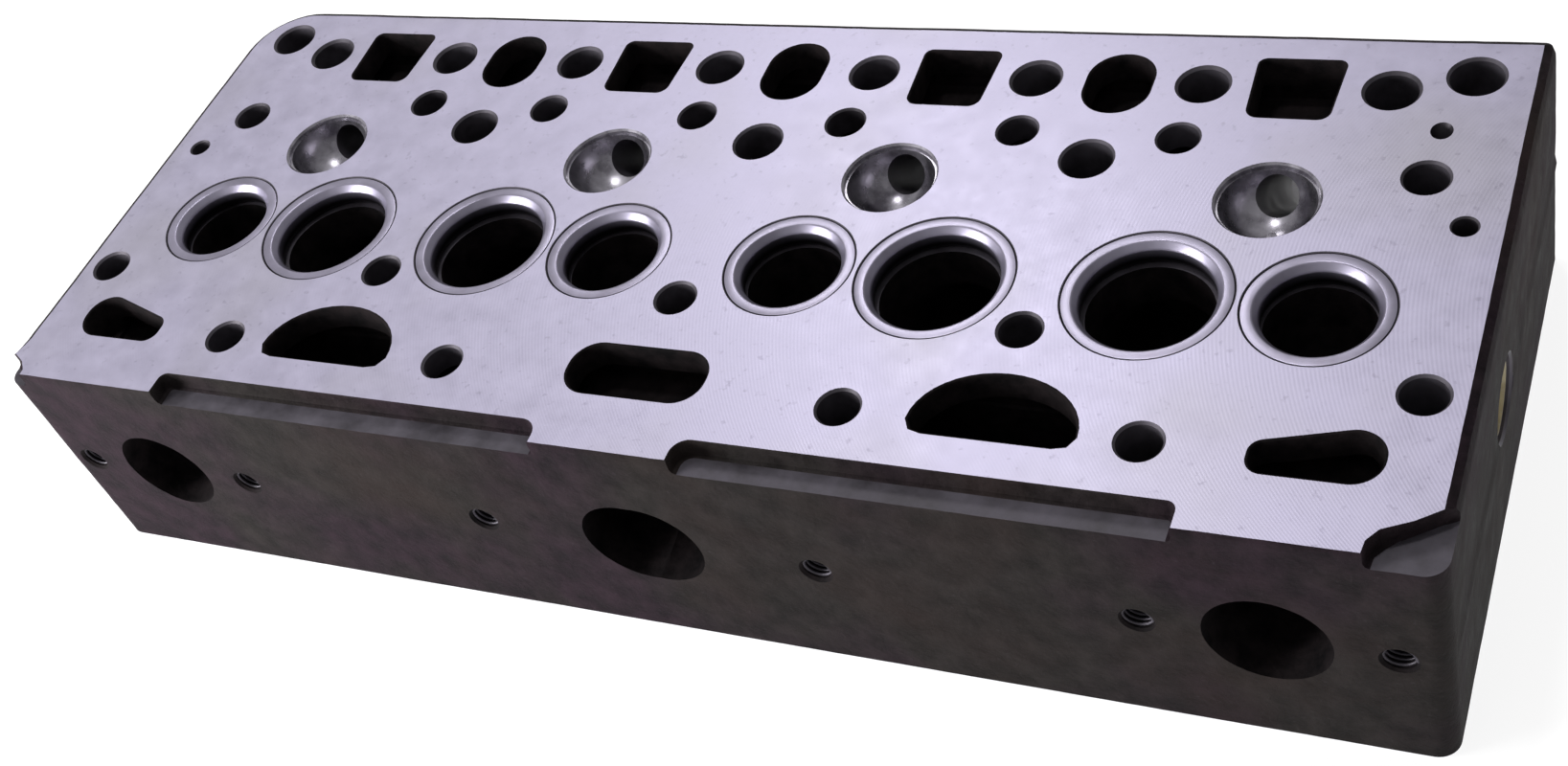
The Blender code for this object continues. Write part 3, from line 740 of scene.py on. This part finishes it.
def exhaustPath(x):
    # The outer valves have a mouth each, and the middle two share one.
    side, level, past = math.copysign(1.0, x), ports["level"], -ports["past"]
    throat, mouth = ports["exhaustThroat"] / 2.0, ports["exhaustMouth"] / 2.0
    path = elbowStations(x, -1.0, throat)
    if abs(x) > ports["pairX"]:
        path.append((x, -64.0, level, mouth - 0.5, mouth - 0.5))
        return path + [(178.0 * side, past, level, mouth, mouth)]
    path.append((20.0 * side, -54.0, level, throat, throat))
    path.append((9.0 * side, -72.0, level, mouth - 1.0, mouth - 1.0))
    return path + [(1.5 * side, past, level, mouth, mouth)]


def intakePath(x):
    # The two intake valves of a pair meet in one tall mouth.
    middle = math.copysign(ports["pairX"], x)
    inner, level, tall = math.copysign(1.0, x - middle), ports["level"], ports["intakeTall"]
    path = elbowStations(x, 1.0, ports["intakeThroat"] / 2.0 - 0.8)
    path.append((middle + 25.5 * inner, 30.0, level, 12.0, tall - 2.0))
    path.append((middle + 12.5 * inner, 50.0, level, 10.0, tall - 1.5))
    path.append((middle + 4.8 * inner, 67.0, level, 10.2, tall - 1.0))
    return path + [(middle + 4.0 * inner, ports["past"], level, 13.0, tall)]


for name, first in (("portsFirst", 0), ("portsSecond", 1)):
    bm = bmesh.new()
    for x in ports["exhaustX"][first::2]:
        passageSolid(bm, exhaustPath(x), ports["sides"], sootAndShadeSkin)
    for x in ports["intakeX"][first::2]:
        passageSolid(bm, intakePath(x), ports["sides"], sootAndShadeSkin)
    cutAway(name, bm)

# Seat pockets, spring seats and guide bores
seats = {
    "intake": {"x": ports["intakeX"], "outer": 45.6, "throat": 36.6},
    "exhaust": {"x": ports["exhaustX"], "outer": 38.8, "throat": 29.6},
    "pocket": 8.0,
    "depth": 7.7,
    "land": 0.2,
    "faceShare": 0.34,
    "bevel": 0.35,
}
guides = {
    "radius": 7.0,
    "stem": 4.0,
    "foot": 3.0,
    "portEnd": 42.0,
    "boreEnd": 50.0,
    "flangeWall": 2.0,
    "flangeTop": 13.2,
    "flangeThick": 2.5,
    "springSeat": 16.5,
}
pressGap = 0.3  # room round every pressed-in piece
valveY, valveX = ports["valveY"], ports["exhaustX"] + ports["intakeX"]
bm = bmesh.new()
for kind in ("exhaust", "intake"):
    radius = seats[kind]["outer"] / 2.0 + pressGap
    profile = ((radius, headTop - seats["pocket"]), (radius, headTop - 0.25))
    profile += ((radius + 0.3, headTop), (radius + 0.3, deckOver))
    for x in seats[kind]["x"]:
        uprightSolid(bm, x, valveY, profile, 96, boredSkin)
cutAway("seatPockets", bm)

radius = guides["springSeat"]
profile = ((radius, trayRoof - 2.0), (radius, trayRoof + 1.2), (radius - 0.3, trayRoof + 1.5))
bm = bmesh.new()
for x in valveX:
    uprightSolid(bm, x, valveY, profile, 64, milledSkin)
cutAway("springSeats", bm)

radius = guides["radius"] + pressGap
profile = ((radius, trayRoof - 3.0), (radius, guides["boreEnd"]))
bm = bmesh.new()
for x in valveX:
    uprightSolid(bm, x, valveY, profile, 40, boredSkin)
cutAway("guideBores", bm)

# Swirl chambers: a shallow register for the hot plug, a ball-cut bowl, and the leaning injector bore
chambers = {
    "x": (-158.0, -48.0, 48.0, 158.0),
    "y": 21.5,
    "radius": 14.0,
    "register": 1.6,
    "step": 0.7,
    "bowlDepth": 12.4,
    "lean": math.radians(50.0),
    "tip": {"start": 8.0, "sides": 48, "profile": ((6.0, 0.0), (6.0, 54.0))},
    "body": {"start": 58.0, "sides": 64, "profile": ((6.5, 0.0), (11.0, 3.0), (11.0, 44.0))},
}
radius, shelf = chambers["radius"], headTop - chambers["register"]
bowlRadius = radius - chambers["step"]
bowl = [(radius + 0.6, deckOver), (radius + 0.6, headTop), (radius, headTop - 0.6), (radius, shelf)]
bowl.append((bowlRadius, shelf))
for degrees in range(6, 90, 6):
    angle = math.radians(degrees)
    bowl.append((bowlRadius * math.cos(angle), shelf - chambers["bowlDepth"] * math.sin(angle)))
bm = bmesh.new()
for x in chambers["x"]:
    uprightSolid(bm, x, chambers["y"], bowl, 72, bowlSkin)
cutAway("swirlChambers", bm)

lean = Vector((0.0, math.sin(chambers["lean"]), -math.cos(chambers["lean"])))
for name, bore in (("injectorTips", chambers["tip"]), ("injectorBodies", chambers["body"])):
    bm = bmesh.new()
    for x in chambers["x"]:
        start = Vector((x, chambers["y"], headTop)) + lean * bore["start"]
        turnedSolid(bm, start, lean, bore["profile"], bore["sides"], boredSkin)
    cutAway(name, bm)


def throughProfile(radius, chamfer, bottom=0.0):
    return (
        (radius + chamfer, underFace),
        (radius + chamfer, bottom),
        (radius, bottom + chamfer),
        (radius, headTop - chamfer),
        (radius + chamfer, headTop),
        (radius + chamfer, deckOver),
    )


# Bolt, pushrod and corner holes
cornerHoles = {"x": (-204.0, 204.0), "y": 73.4, "radius": 7.3, "chamfer": 0.8}
bm = bmesh.new()
for x, y, diameter in bolts["places"]:
    bottom = 0.0
    if abs(x) < 205.0 and -50.0 < y:
        bottom = padTop if y > 0.0 else bossTop
    uprightSolid(bm, x, y, throughProfile(diameter / 2.0, bolts["chamfer"], bottom), 48, boredSkin)
for x in pushrods["x"]:
    profile = throughProfile(pushrods["diameter"] / 2.0, pushrods["chamfer"], trayRoof)
    uprightSolid(bm, x, pushrods["y"], profile, 48, boredSkin)
for x in cornerHoles["x"]:
    profile = throughProfile(cornerHoles["radius"], cornerHoles["chamfer"])
    uprightSolid(bm, x, cornerHoles["y"], profile, 48, boredSkin)
cutAway("throughHoles", bm)

# Coolant openings: cored, so their edges are soft
coolant = {
    "archX": 106.5,
    "archFoot": -69.8,
    "archSpring": -66.0,
    "archHalf": 22.5,
    "archRise": 17.5,
    "teardrop": ((172.5, -69.9, 3.8), (203.7, -69.9, 7.5), (203.7, -52.4, 6.8), (172.5, -61.5, 3.6)),
    "slot": (-21.5, 21.5, -69.8, -52.2, 8.0),
    "ovals": ((-105.3, 53.6, 77.9), (0.0, 53.2, 78.4), (105.3, 53.4, 77.6)),
    "squares": ((-156.3, 54.2, 77.5), (-53.4, 54.0, 77.2), (53.4, 53.8, 77.3), (156.3, 54.1, 77.7)),
}
middle, foot, half = coolant["archX"], coolant["archFoot"], coolant["archHalf"]
arch = [Vector((x, foot)) for x in (89.0, middle, 124.0)] + [Vector((127.4, foot + 0.9))]
for degrees in range(0, 181, 9):
    angle = math.radians(degrees)
    rise = coolant["archSpring"] + coolant["archRise"] * math.sin(angle)
    arch.append(Vector((middle + half * math.cos(angle), rise)))
arch.append(Vector((85.6, foot + 0.9)))
teardrop = roundedOutline(coolant["teardrop"])
cored = [arch, mirroredX(arch), teardrop, mirroredX(teardrop)]
cored.append(roundedOutline(rectangleOf(*coolant["slot"])))
for x, near, far in coolant["ovals"]:
    cored.append(roundedOutline(rectangleOf(x - 9.5, x + 9.5, near, far, 9.3)))
for x, near, far in coolant["squares"]:
    nearEnd = ((x - 11.0, near, 3.0), (x + 11.0, near, 3.0))
    farEnd = ((x + 12.0, far, 2.0), (x - 12.0, far, 2.0))
    cored.append(roundedOutline(nearEnd + farEnd, 15.0))
inGallery = gallery + 3.0
levels = ((inGallery, 0.0), (headTop - 1.1, 0.0), (headTop - 0.35, 0.25))
levels += ((headTop, 0.8), (deckOver, 0.8))
bm = bmesh.new()
for outline in cored:
    outlineSolid(bm, outline, levels, sootAndShadeSkin)
cutAway("coolantOpenings", bm)

radius = jacket["holeRadius"]
profile = ((radius, inGallery), (radius, headTop - 0.6))
profile += ((radius + 0.6, headTop), (radius + 0.6, deckOver))
bm = bmesh.new()
for x in jacket["holeX"]:
    uprightSolid(bm, x, jacket["holeY"], profile, 40, boredSkin)
cutAway("coolantHoles", bm)

# Dowel holes and the slanting oil feed
dowels = {"x": (-209.7, 209.7), "y": 16.0, "radius": 3.3, "depth": 12.0, "chamfer": 0.5}
oilFeed = {"foot": Vector((197.6, 34.0, 50.0)), "mouth": Vector((198.35, 52.2, 86.0)), "radius": 3.0}
radius, floor = dowels["radius"], headTop - dowels["depth"]
profile = ((1.0, floor - 1.9), (radius, floor), (radius, headTop - dowels["chamfer"]))
profile += ((radius + dowels["chamfer"], headTop), (radius + dowels["chamfer"], deckOver))
bm = bmesh.new()
for x in dowels["x"]:
    uprightSolid(bm, x, dowels["y"], profile, 32, boredSkin)
slant = oilFeed["mouth"] - oilFeed["foot"]
profile = ((oilFeed["radius"], 0.0), (oilFeed["radius"], slant.length + 2.0))
turnedSolid(bm, oilFeed["foot"], slant, profile, 28, boredSkin)
cutAway("dowelAndOilHoles", bm)

# Tapped holes in the two manifold faces and the rocker face: mouth, inward direction, depth
faceX, faceY = casting["length"] / 2.0, casting["width"] / 2.0
taps = {
    "studThreads": {"radius": 4.25, "pitch": 1.5, "length": 13.0, "ridge": 0.62},
    "clampThreads": {"radius": 3.4, "pitch": 1.25, "length": 9.5, "ridge": 0.5},
}
towardsIntake, towardsExhaust = (0.0, 1.0, 0.0), (0.0, -1.0, 0.0)
studX = (-210.0, -145.0, -54.7, 54.7, 145.0, 210.0)
studHoles = [((x, -faceY, 42.0), towardsIntake, 15.0) for x in studX]
studHoles += [((x, faceY, 42.0), towardsExhaust, 15.0) for x in (-132.0, -77.0, 77.0, 132.0)]
clampX = [x + side for x in chambers["x"] for side in (-17.0, 17.0)]
clampHoles = [((x, faceY, 26.0), towardsExhaust, 11.0) for x in clampX]
coverPlaces = ((-211.5, 2.0), (211.5, 2.0), (-30.0, -56.0), (30.0, -56.0))
clampHoles += [((x, y, 0.0), up, 14.0) for x, y in coverPlaces]
tapped = {"studThreads": studHoles, "clampThreads": clampHoles}
bm = bmesh.new()
for kind, holes in tapped.items():
    radius = taps[kind]["radius"]
    for mouth, direction, reach in holes:
        profile = ((radius + 0.9, -3.0), (radius + 0.9, 0.0), (radius, 0.9))
        profile += ((radius, reach), (0.8, reach + 1.6))
        turnedSolid(bm, mouth, direction, profile, 32, sootAndShadeSkin)
cutAway("tappedHoles", bm)

# Core plug bores
plugFaces = {
    "core_plug_front": ((-faceX, -8.0, 46.0), (1.0, 0.0, 0.0)),
    "core_plug_rear": ((faceX, -8.0, 46.0), (-1.0, 0.0, 0.0)),
    "core_plug_intake_side": ((0.0, faceY, 46.0), towardsExhaust),
    "core_plug_rocker_front": ((-106.0, -62.0, 0.0), up),
    "core_plug_rocker_rear": ((106.0, -62.0, 0.0), up),
}
plug = {
    "radius": 11.7,
    "length": 6.0,
    "wall": 1.7,
    "inset": 1.5,
    "dome": 0.6,
    "lip": 0.5,
    "sideBore": 14.0,
}
radius = plug["radius"] + pressGap
bm = bmesh.new()
for face, inward in plugFaces.values():
    reach = low + 2.0 if inward == up else plug["sideBore"]
    profile = ((radius + 0.8, -3.0), (radius + 0.8, 0.0), (radius, 0.8), (radius, reach))
    turnedSolid(bm, face, inward, profile, 72, boredSkin)
cutAway("corePlugBores", bm)
print("cutters ready:", len(tools))


def settled(made, name):
    # The evaluated object as a plain mesh under its own name.
    graph = bpy.context.evaluated_depsgraph_get()
    mesh = bpy.data.meshes.new_from_object(made.evaluated_get(graph))
    plain = bpy.data.objects.new(name, mesh)
    bpy.context.scene.collection.objects.link(plain)
    bpy.data.objects.remove(made, do_unlink=True)
    return plain


headCasting = settled(body, "headCasting")
for tool in tools:
    bpy.data.objects.remove(tool, do_unlink=True)
headCasting.data.shade_smooth()
headCasting.data.set_sharp_from_angle(angle=math.radians(32.0))
bm = bmesh.new()
bm.from_mesh(headCasting.data)
for face in bm.faces:
    if abs(face.normal.z) > 0.99999:  # flat faces keep their own normals right up to their edges
        for rim in face.edges:
            rim.smooth = False
bm.to_mesh(headCasting.data)
bm.free()
print("casting cut:", len(headCasting.data.polygons), "faces")


# Geometry Nodes trees: one sets a turned piece on each point, the other a thread in each tapped hole

def treeInput(tree, name, kind, value=None):
    socket = tree.interface.new_socket(name=name, in_out="INPUT", socket_type=kind)
    if value is not None:
        socket.default_value = value


def startTree(name, inputs):
    tree = bpy.data.node_groups.new(name, "GeometryNodeTree")
    treeInput(tree, "Geometry", "NodeSocketGeometry")
    for label, kind, value in inputs:
        treeInput(tree, label, kind, value)
    treeInput(tree, "Finish", "NodeSocketMaterial")
    tree.interface.new_socket(name="Geometry", in_out="OUTPUT", socket_type="NodeSocketGeometry")
    return tree, tree.nodes.new("NodeGroupInput").outputs


def finishTree(tree, source, mesh):
    # Puts the mesh on every point, turned along the point's aim, as real geometry with its finish.
    aim = addNode(tree, "GeometryNodeInputNamedAttribute", {"Name": "aim"}, data_type="FLOAT_VECTOR")
    aimed = {"Vector": aim.outputs["Attribute"]}
    turn = addNode(tree, "FunctionNodeAlignRotationToVector", aimed, axis="Z").outputs["Rotation"]
    inputs = {"Points": source["Geometry"], "Instance": mesh, "Rotation": turn}
    copies = addNode(tree, "GeometryNodeInstanceOnPoints", inputs).outputs["Instances"]
    real = addNode(tree, "GeometryNodeRealizeInstances", {"Geometry": copies}).outputs["Geometry"]
    finished = addNode(tree, "GeometryNodeSetMaterial", {"Geometry": real, "Material": source["Finish"]})
    result = tree.nodes.new("NodeGroupOutput")
    tree.links.new(finished.outputs["Geometry"], result.inputs["Geometry"])
    return tree


def turnedCopiesTree():
    # Sweeps a closed profile round a small core circle.
    inputs = (
        ("Profile", "NodeSocketObject", None),
        ("Facets", "NodeSocketInt", 96),
        ("Core Radius", "NodeSocketFloat", 0.001),
    )
    tree, source = startTree("turnedCopies", inputs)
    profile = {"Object": source["Profile"]}
    info = addNode(tree, "GeometryNodeObjectInfo", profile, transform_space="ORIGINAL")
    section = addNode(tree, "GeometryNodeMeshToCurve", {"Mesh": info.outputs["Geometry"]}).outputs["Curve"]
    circle = {"Resolution": source["Facets"], "Radius": source["Core Radius"]}
    path = addNode(tree, "GeometryNodeCurvePrimitiveCircle", circle).outputs["Curve"]
    swept = addNode(tree, "GeometryNodeCurveToMesh", {"Curve": path, "Profile Curve": section})
    return finishTree(tree, source, swept.outputs["Mesh"])


def threadTree():
    # Sweeps a small ridge along a helix.
    inputs = (
        ("Turns", "NodeSocketFloat", 8.0),
        ("Steps Per Turn", "NodeSocketInt", 18),
        ("Wall Radius", "NodeSocketFloat", 0.004),
        ("Depth", "NodeSocketFloat", 0.012),
        ("Ridge", "NodeSocketFloat", 0.0006),
    )
    tree, source = startTree("tappedThread", inputs)
    spiral = {
        "Resolution": source["Steps Per Turn"],
        "Rotations": source["Turns"],
        "Height": source["Depth"],
        "Start Radius": source["Wall Radius"],
        "End Radius": source["Wall Radius"],
    }
    helix = addNode(tree, "GeometryNodeCurveSpiral", spiral).outputs["Curve"]
    circle = {"Resolution": 4, "Radius": source["Ridge"]}
    crest = addNode(tree, "GeometryNodeCurvePrimitiveCircle", circle).outputs["Curve"]
    sweep = {"Curve": helix, "Profile Curve": crest, "Fill Caps": True}
    return finishTree(tree, source, addNode(tree, "GeometryNodeCurveToMesh", sweep).outputs["Mesh"])


def onPoints(name, tree, places, aims, inputs):
    # Loose points, each with the direction that its copy faces, turned into the tree's plain mesh.
    mesh = bpy.data.meshes.new(name + "Points")
    mesh.from_pydata([tuple(Vector(place) * mm) for place in places], [], [])
    attribute = mesh.attributes.new("aim", "FLOAT_VECTOR", "POINT")
    for item, aim in zip(attribute.data, aims):
        item.vector = aim
    points = bpy.data.objects.new(name + "Points", mesh)
    bpy.context.scene.collection.objects.link(points)
    modifier = points.modifiers.new(tree.name, "NODES")
    modifier.node_group = tree
    for item in tree.interface.items_tree:
        if item.item_type == "SOCKET" and item.in_out == "INPUT" and item.name in inputs:
            modifier[item.identifier] = inputs[item.name]
    return settled(points, name)


def softened(profile, size, steps=2):
    # Rounds each corner of a closed (radius, height) profile.
    made = []
    for index, corner in enumerate(profile):
        here = Vector(corner)
        before = Vector(profile[index - 1]) - here
        after = Vector(profile[(index + 1) % len(profile)]) - here
        reach = min(size, before.length * 0.4, after.length * 0.4)
        start, end = here + before.normalized() * reach, here + after.normalized() * reach
        for step in range(steps + 1):
            t = step / steps
            made.append(start.lerp(here, t).lerp(here.lerp(end, t), t))
    return made


copiesTree, ridgeTree = turnedCopiesTree(), threadTree()


def turnedRow(name, profile, places, aims, finish, facets, core):
    # Copies of one turned piece as a single plain mesh, swept along a circle of the core's radius.
    mesh = bpy.data.meshes.new(name + "Profile")
    points = [((radius - core) * mm, -height * mm, 0.0) for radius, height in profile]
    edges = [(index, (index + 1) % len(points)) for index in range(len(points))]
    mesh.from_pydata(points, edges, [])
    section = bpy.data.objects.new(name + "Profile", mesh)
    bpy.context.scene.collection.objects.link(section)
    inputs = {"Profile": section, "Facets": facets, "Core Radius": core * mm, "Finish": finish}
    made = onPoints(name, copiesTree, places, aims, inputs)
    bpy.data.objects.remove(section, do_unlink=True)
    bm = bmesh.new()
    bm.from_mesh(made.data)
    bmesh.ops.remove_doubles(bm, verts=bm.verts, dist=1e-6)
    bare = [line for line in bm.edges if not line.link_faces]
    bmesh.ops.delete(bm, geom=bare, context="EDGES")
    bmesh.ops.recalc_face_normals(bm, faces=bm.faces)
    bm.to_mesh(made.data)
    bm.free()
    made.data.shade_smooth()
    made.data.set_sharp_from_angle(angle=math.radians(40.0))
    return made


# Valve seats
seatSteel, guideFinish = groundSteel(), guideIron()
seatRows = {}
for kind in ("intake", "exhaust"):
    outer, throat = seats[kind]["outer"] / 2.0, seats[kind]["throat"] / 2.0
    face = seats["faceShare"] * (outer - throat)
    top, foot = headTop - seats["land"], headTop - seats["depth"]
    profile = [
        (outer, top),
        (outer, foot),
        (throat + 0.8, foot),
        (throat, foot + 1.6),
        (throat, top - face - 0.7),
        (throat + 0.3, top - face - 0.1),
        (throat + face, top - 0.2),
        (throat + face + seats["bevel"], top),
    ]
    places = [(x, valveY, 0.0) for x in seats[kind]["x"]]
    profile = softened(profile, 0.18)
    seatRows[kind] = turnedRow(kind + "Seats", profile, places, [up] * 4, seatSteel, 120, 10.0)
print("valve seats ready")

# Valve guides: a flange against the spring seat, a groove for the stem seal, tapered at the port end
radius, stem, foot, portEnd = guides["radius"], guides["stem"], guides["foot"], guides["portEnd"]
flange, flangeTop = radius + guides["flangeWall"], guides["flangeTop"]
under = flangeTop - guides["flangeThick"]
profile = [
    (radius - 1.6, portEnd), (radius, portEnd - 4.0), (radius, flangeTop), (flange, flangeTop),
    (flange, under), (radius, under), (radius, 7.6), (radius - 0.7, 7.2),
    (radius - 0.7, 6.2), (radius, 5.8), (radius, foot + 1.2), (radius - 0.9, foot),
    (stem + 0.6, foot), (stem, foot + 0.6), (stem, portEnd - 0.5), (stem + 0.4, portEnd),
]
profile = softened(profile, 0.2)
guideRows = {}
for kind in ("intake", "exhaust"):
    places = [(x, valveY, 0.0) for x in seats[kind]["x"]]
    guideRows[kind] = turnedRow(kind + "Guides", profile, places, [up] * 4, guideFinish, 64, 2.0)
print("valve guides ready")

# Core plugs: pressed cups, open side out
outer, length, lip = plug["radius"], plug["length"], plug["lip"]
inner, floor = outer - plug["wall"], length - plug["wall"]
cup = [
    (0.0, length + plug["dome"]),
    (outer - 2.4, length),
    (outer, length - 1.4),
    (outer, lip),
    (outer - lip, 0.0),
    (inner + 0.3, 0.0),
    (inner, length - 2.2),
    (inner - 1.3, floor),
    (4.2, floor + 0.2),
    (3.8, floor + 0.6),
    (0.0, floor + 0.5),
]
places = [Vector(face) + Vector(inward) * plug["inset"] for face, inward in plugFaces.values()]
aims = [inward for face, inward in plugFaces.values()]
corePlugs = turnedRow("corePlugs", cup, places, aims, platedSteel(), 72, 2.0)
print("core plugs ready")

# Threads: one helical ridge in each tapped hole
threadRows = []
for name, tap in taps.items():
    places = [Vector(mouth) + Vector(inward) for mouth, inward, reach in tapped[name]]
    aims = [inward for mouth, inward, reach in tapped[name]]
    inputs = {
        "Turns": tap["length"] / tap["pitch"],
        "Steps Per Turn": 18,
        "Wall Radius": (tap["radius"] + 0.05) * mm,
        "Depth": tap["length"] * mm,
        "Ridge": tap["ridge"] * mm,
        "Finish": castingSkins[boredSkin],
    }
    threadRows.append(onPoints(name, ridgeTree, places, aims, inputs))
print("threads ready")


# Every piece rides on the head and stands for its own nodes

valveNumbers = (1, 2, 3, 4)
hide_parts("head_casting")
for kind in ("intake", "exhaust"):
    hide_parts(*[kind + "_seat_" + str(number) for number in valveNumbers])
    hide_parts(*[kind + "_guide_" + str(number) for number in valveNumbers])
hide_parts(*plugFaces)
for piece in [headCasting, corePlugs, *seatRows.values(), *guideRows.values(), *threadRows]:
    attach(piece, "root")


# Studio: pale floor, soft light, camera

studio = {
    "floorSize": 6.0,
    "floorColour": (0.34, 0.34, 0.345),
    "floorGlow": 0.84,
    "worldLight": 0.60,
    "shadeLight": 0.20,
    "lightSpan": (-0.6, 0.9),
}
lamps = {
    "keyLight": {"place": (-0.62, 1.22, 1.5), "target": (0.0, 0.0, 0.08), "size": 0.35, "power": 4.9},
    "sparkLight": {"place": (-0.1, 0.2, 1.3), "target": (0.0, 0.0, 0.08), "size": 0.14, "power": 3.0},
    "fillLight": {"place": (-0.62, -0.5, 0.22), "target": (-0.2, -0.09, 0.04), "size": 0.35, "power": 8.5},
}
view = {
    "eye": Vector((0.2785, -0.3601, 0.4644)),
    "target": Vector((0.0454, -0.0590, headTop * mm)),
    "roll": math.radians(-22.37),
    "lens": 45.82,
}


def studioFloor():
    material, tree, shader, place = startMaterial("paleFloor")
    worn = [value * 0.985 for value in studio["floorColour"]]
    shade = rampOf(tree, noiseOf(tree, place, 3.0, 2.0), (worn, studio["floorColour"]))
    tree.links.new(shade, shader.inputs["Base Color"])
    shader.inputs["Roughness"].default_value = 0.8
    shader.inputs["Emission Color"].default_value = (*white, 1.0)
    shader.inputs["Emission Strength"].default_value = studio["floorGlow"]
    bm = bmesh.new()
    bmesh.ops.create_grid(bm, x_segments=8, y_segments=8, size=studio["floorSize"] / 2.0)
    floor = meshObject("studioFloor", bm, [material])
    floor.data.transform(Matrix.Translation((0.0, 0.0, -0.0005)))


def softLight(name, place, target, size, power):
    light = bpy.data.lights.new(name, "AREA")
    light.shape = "DISK"
    light.size = size
    light.energy = power
    lamp = bpy.data.objects.new(name, light)
    lamp.location = place
    lamp.rotation_euler = (Vector(target) - Vector(place)).to_track_quat("-Z", "Y").to_euler()
    bpy.context.scene.collection.objects.link(lamp)


def studioWorld():
    # An even white sky that fades towards the rear end of the head.
    world = bpy.data.worlds.new("studioLight")
    bpy.context.scene.world = world
    world.use_nodes = True
    tree = world.node_tree
    backdrop = tree.nodes["Background"]
    backdrop.inputs["Color"].default_value = (*white, 1.0)
    skyward = tree.nodes.new("ShaderNodeTexCoord").outputs["Generated"]
    eastward = addNode(tree, "ShaderNodeSeparateXYZ", {0: skyward}).outputs[0]
    glow = rangeOf(tree, eastward, studio["worldLight"], studio["shadeLight"], *studio["lightSpan"])
    tree.links.new(glow, backdrop.inputs["Strength"])


studioFloor()
for name, lamp in lamps.items():
    softLight(name, **lamp)
studioWorld()

lens = bpy.data.cameras.new("studioCamera")
lens.lens = view["lens"]
lens.sensor_width = 36.0
lens.clip_start = 0.01
camera = bpy.data.objects.new("studioCamera", lens)
aimed = (view["target"] - view["eye"]).to_track_quat("-Z", "Y").to_matrix()
rolled = aimed @ Matrix.Rotation(view["roll"], 3, "Z")
camera.matrix_world = Matrix.Translation(view["eye"]) @ rolled.to_4x4()
bpy.context.scene.collection.objects.link(camera)
bpy.context.scene.camera = camera
bpy.context.scene.view_settings.view_transform = "Standard"
print("studio ready")
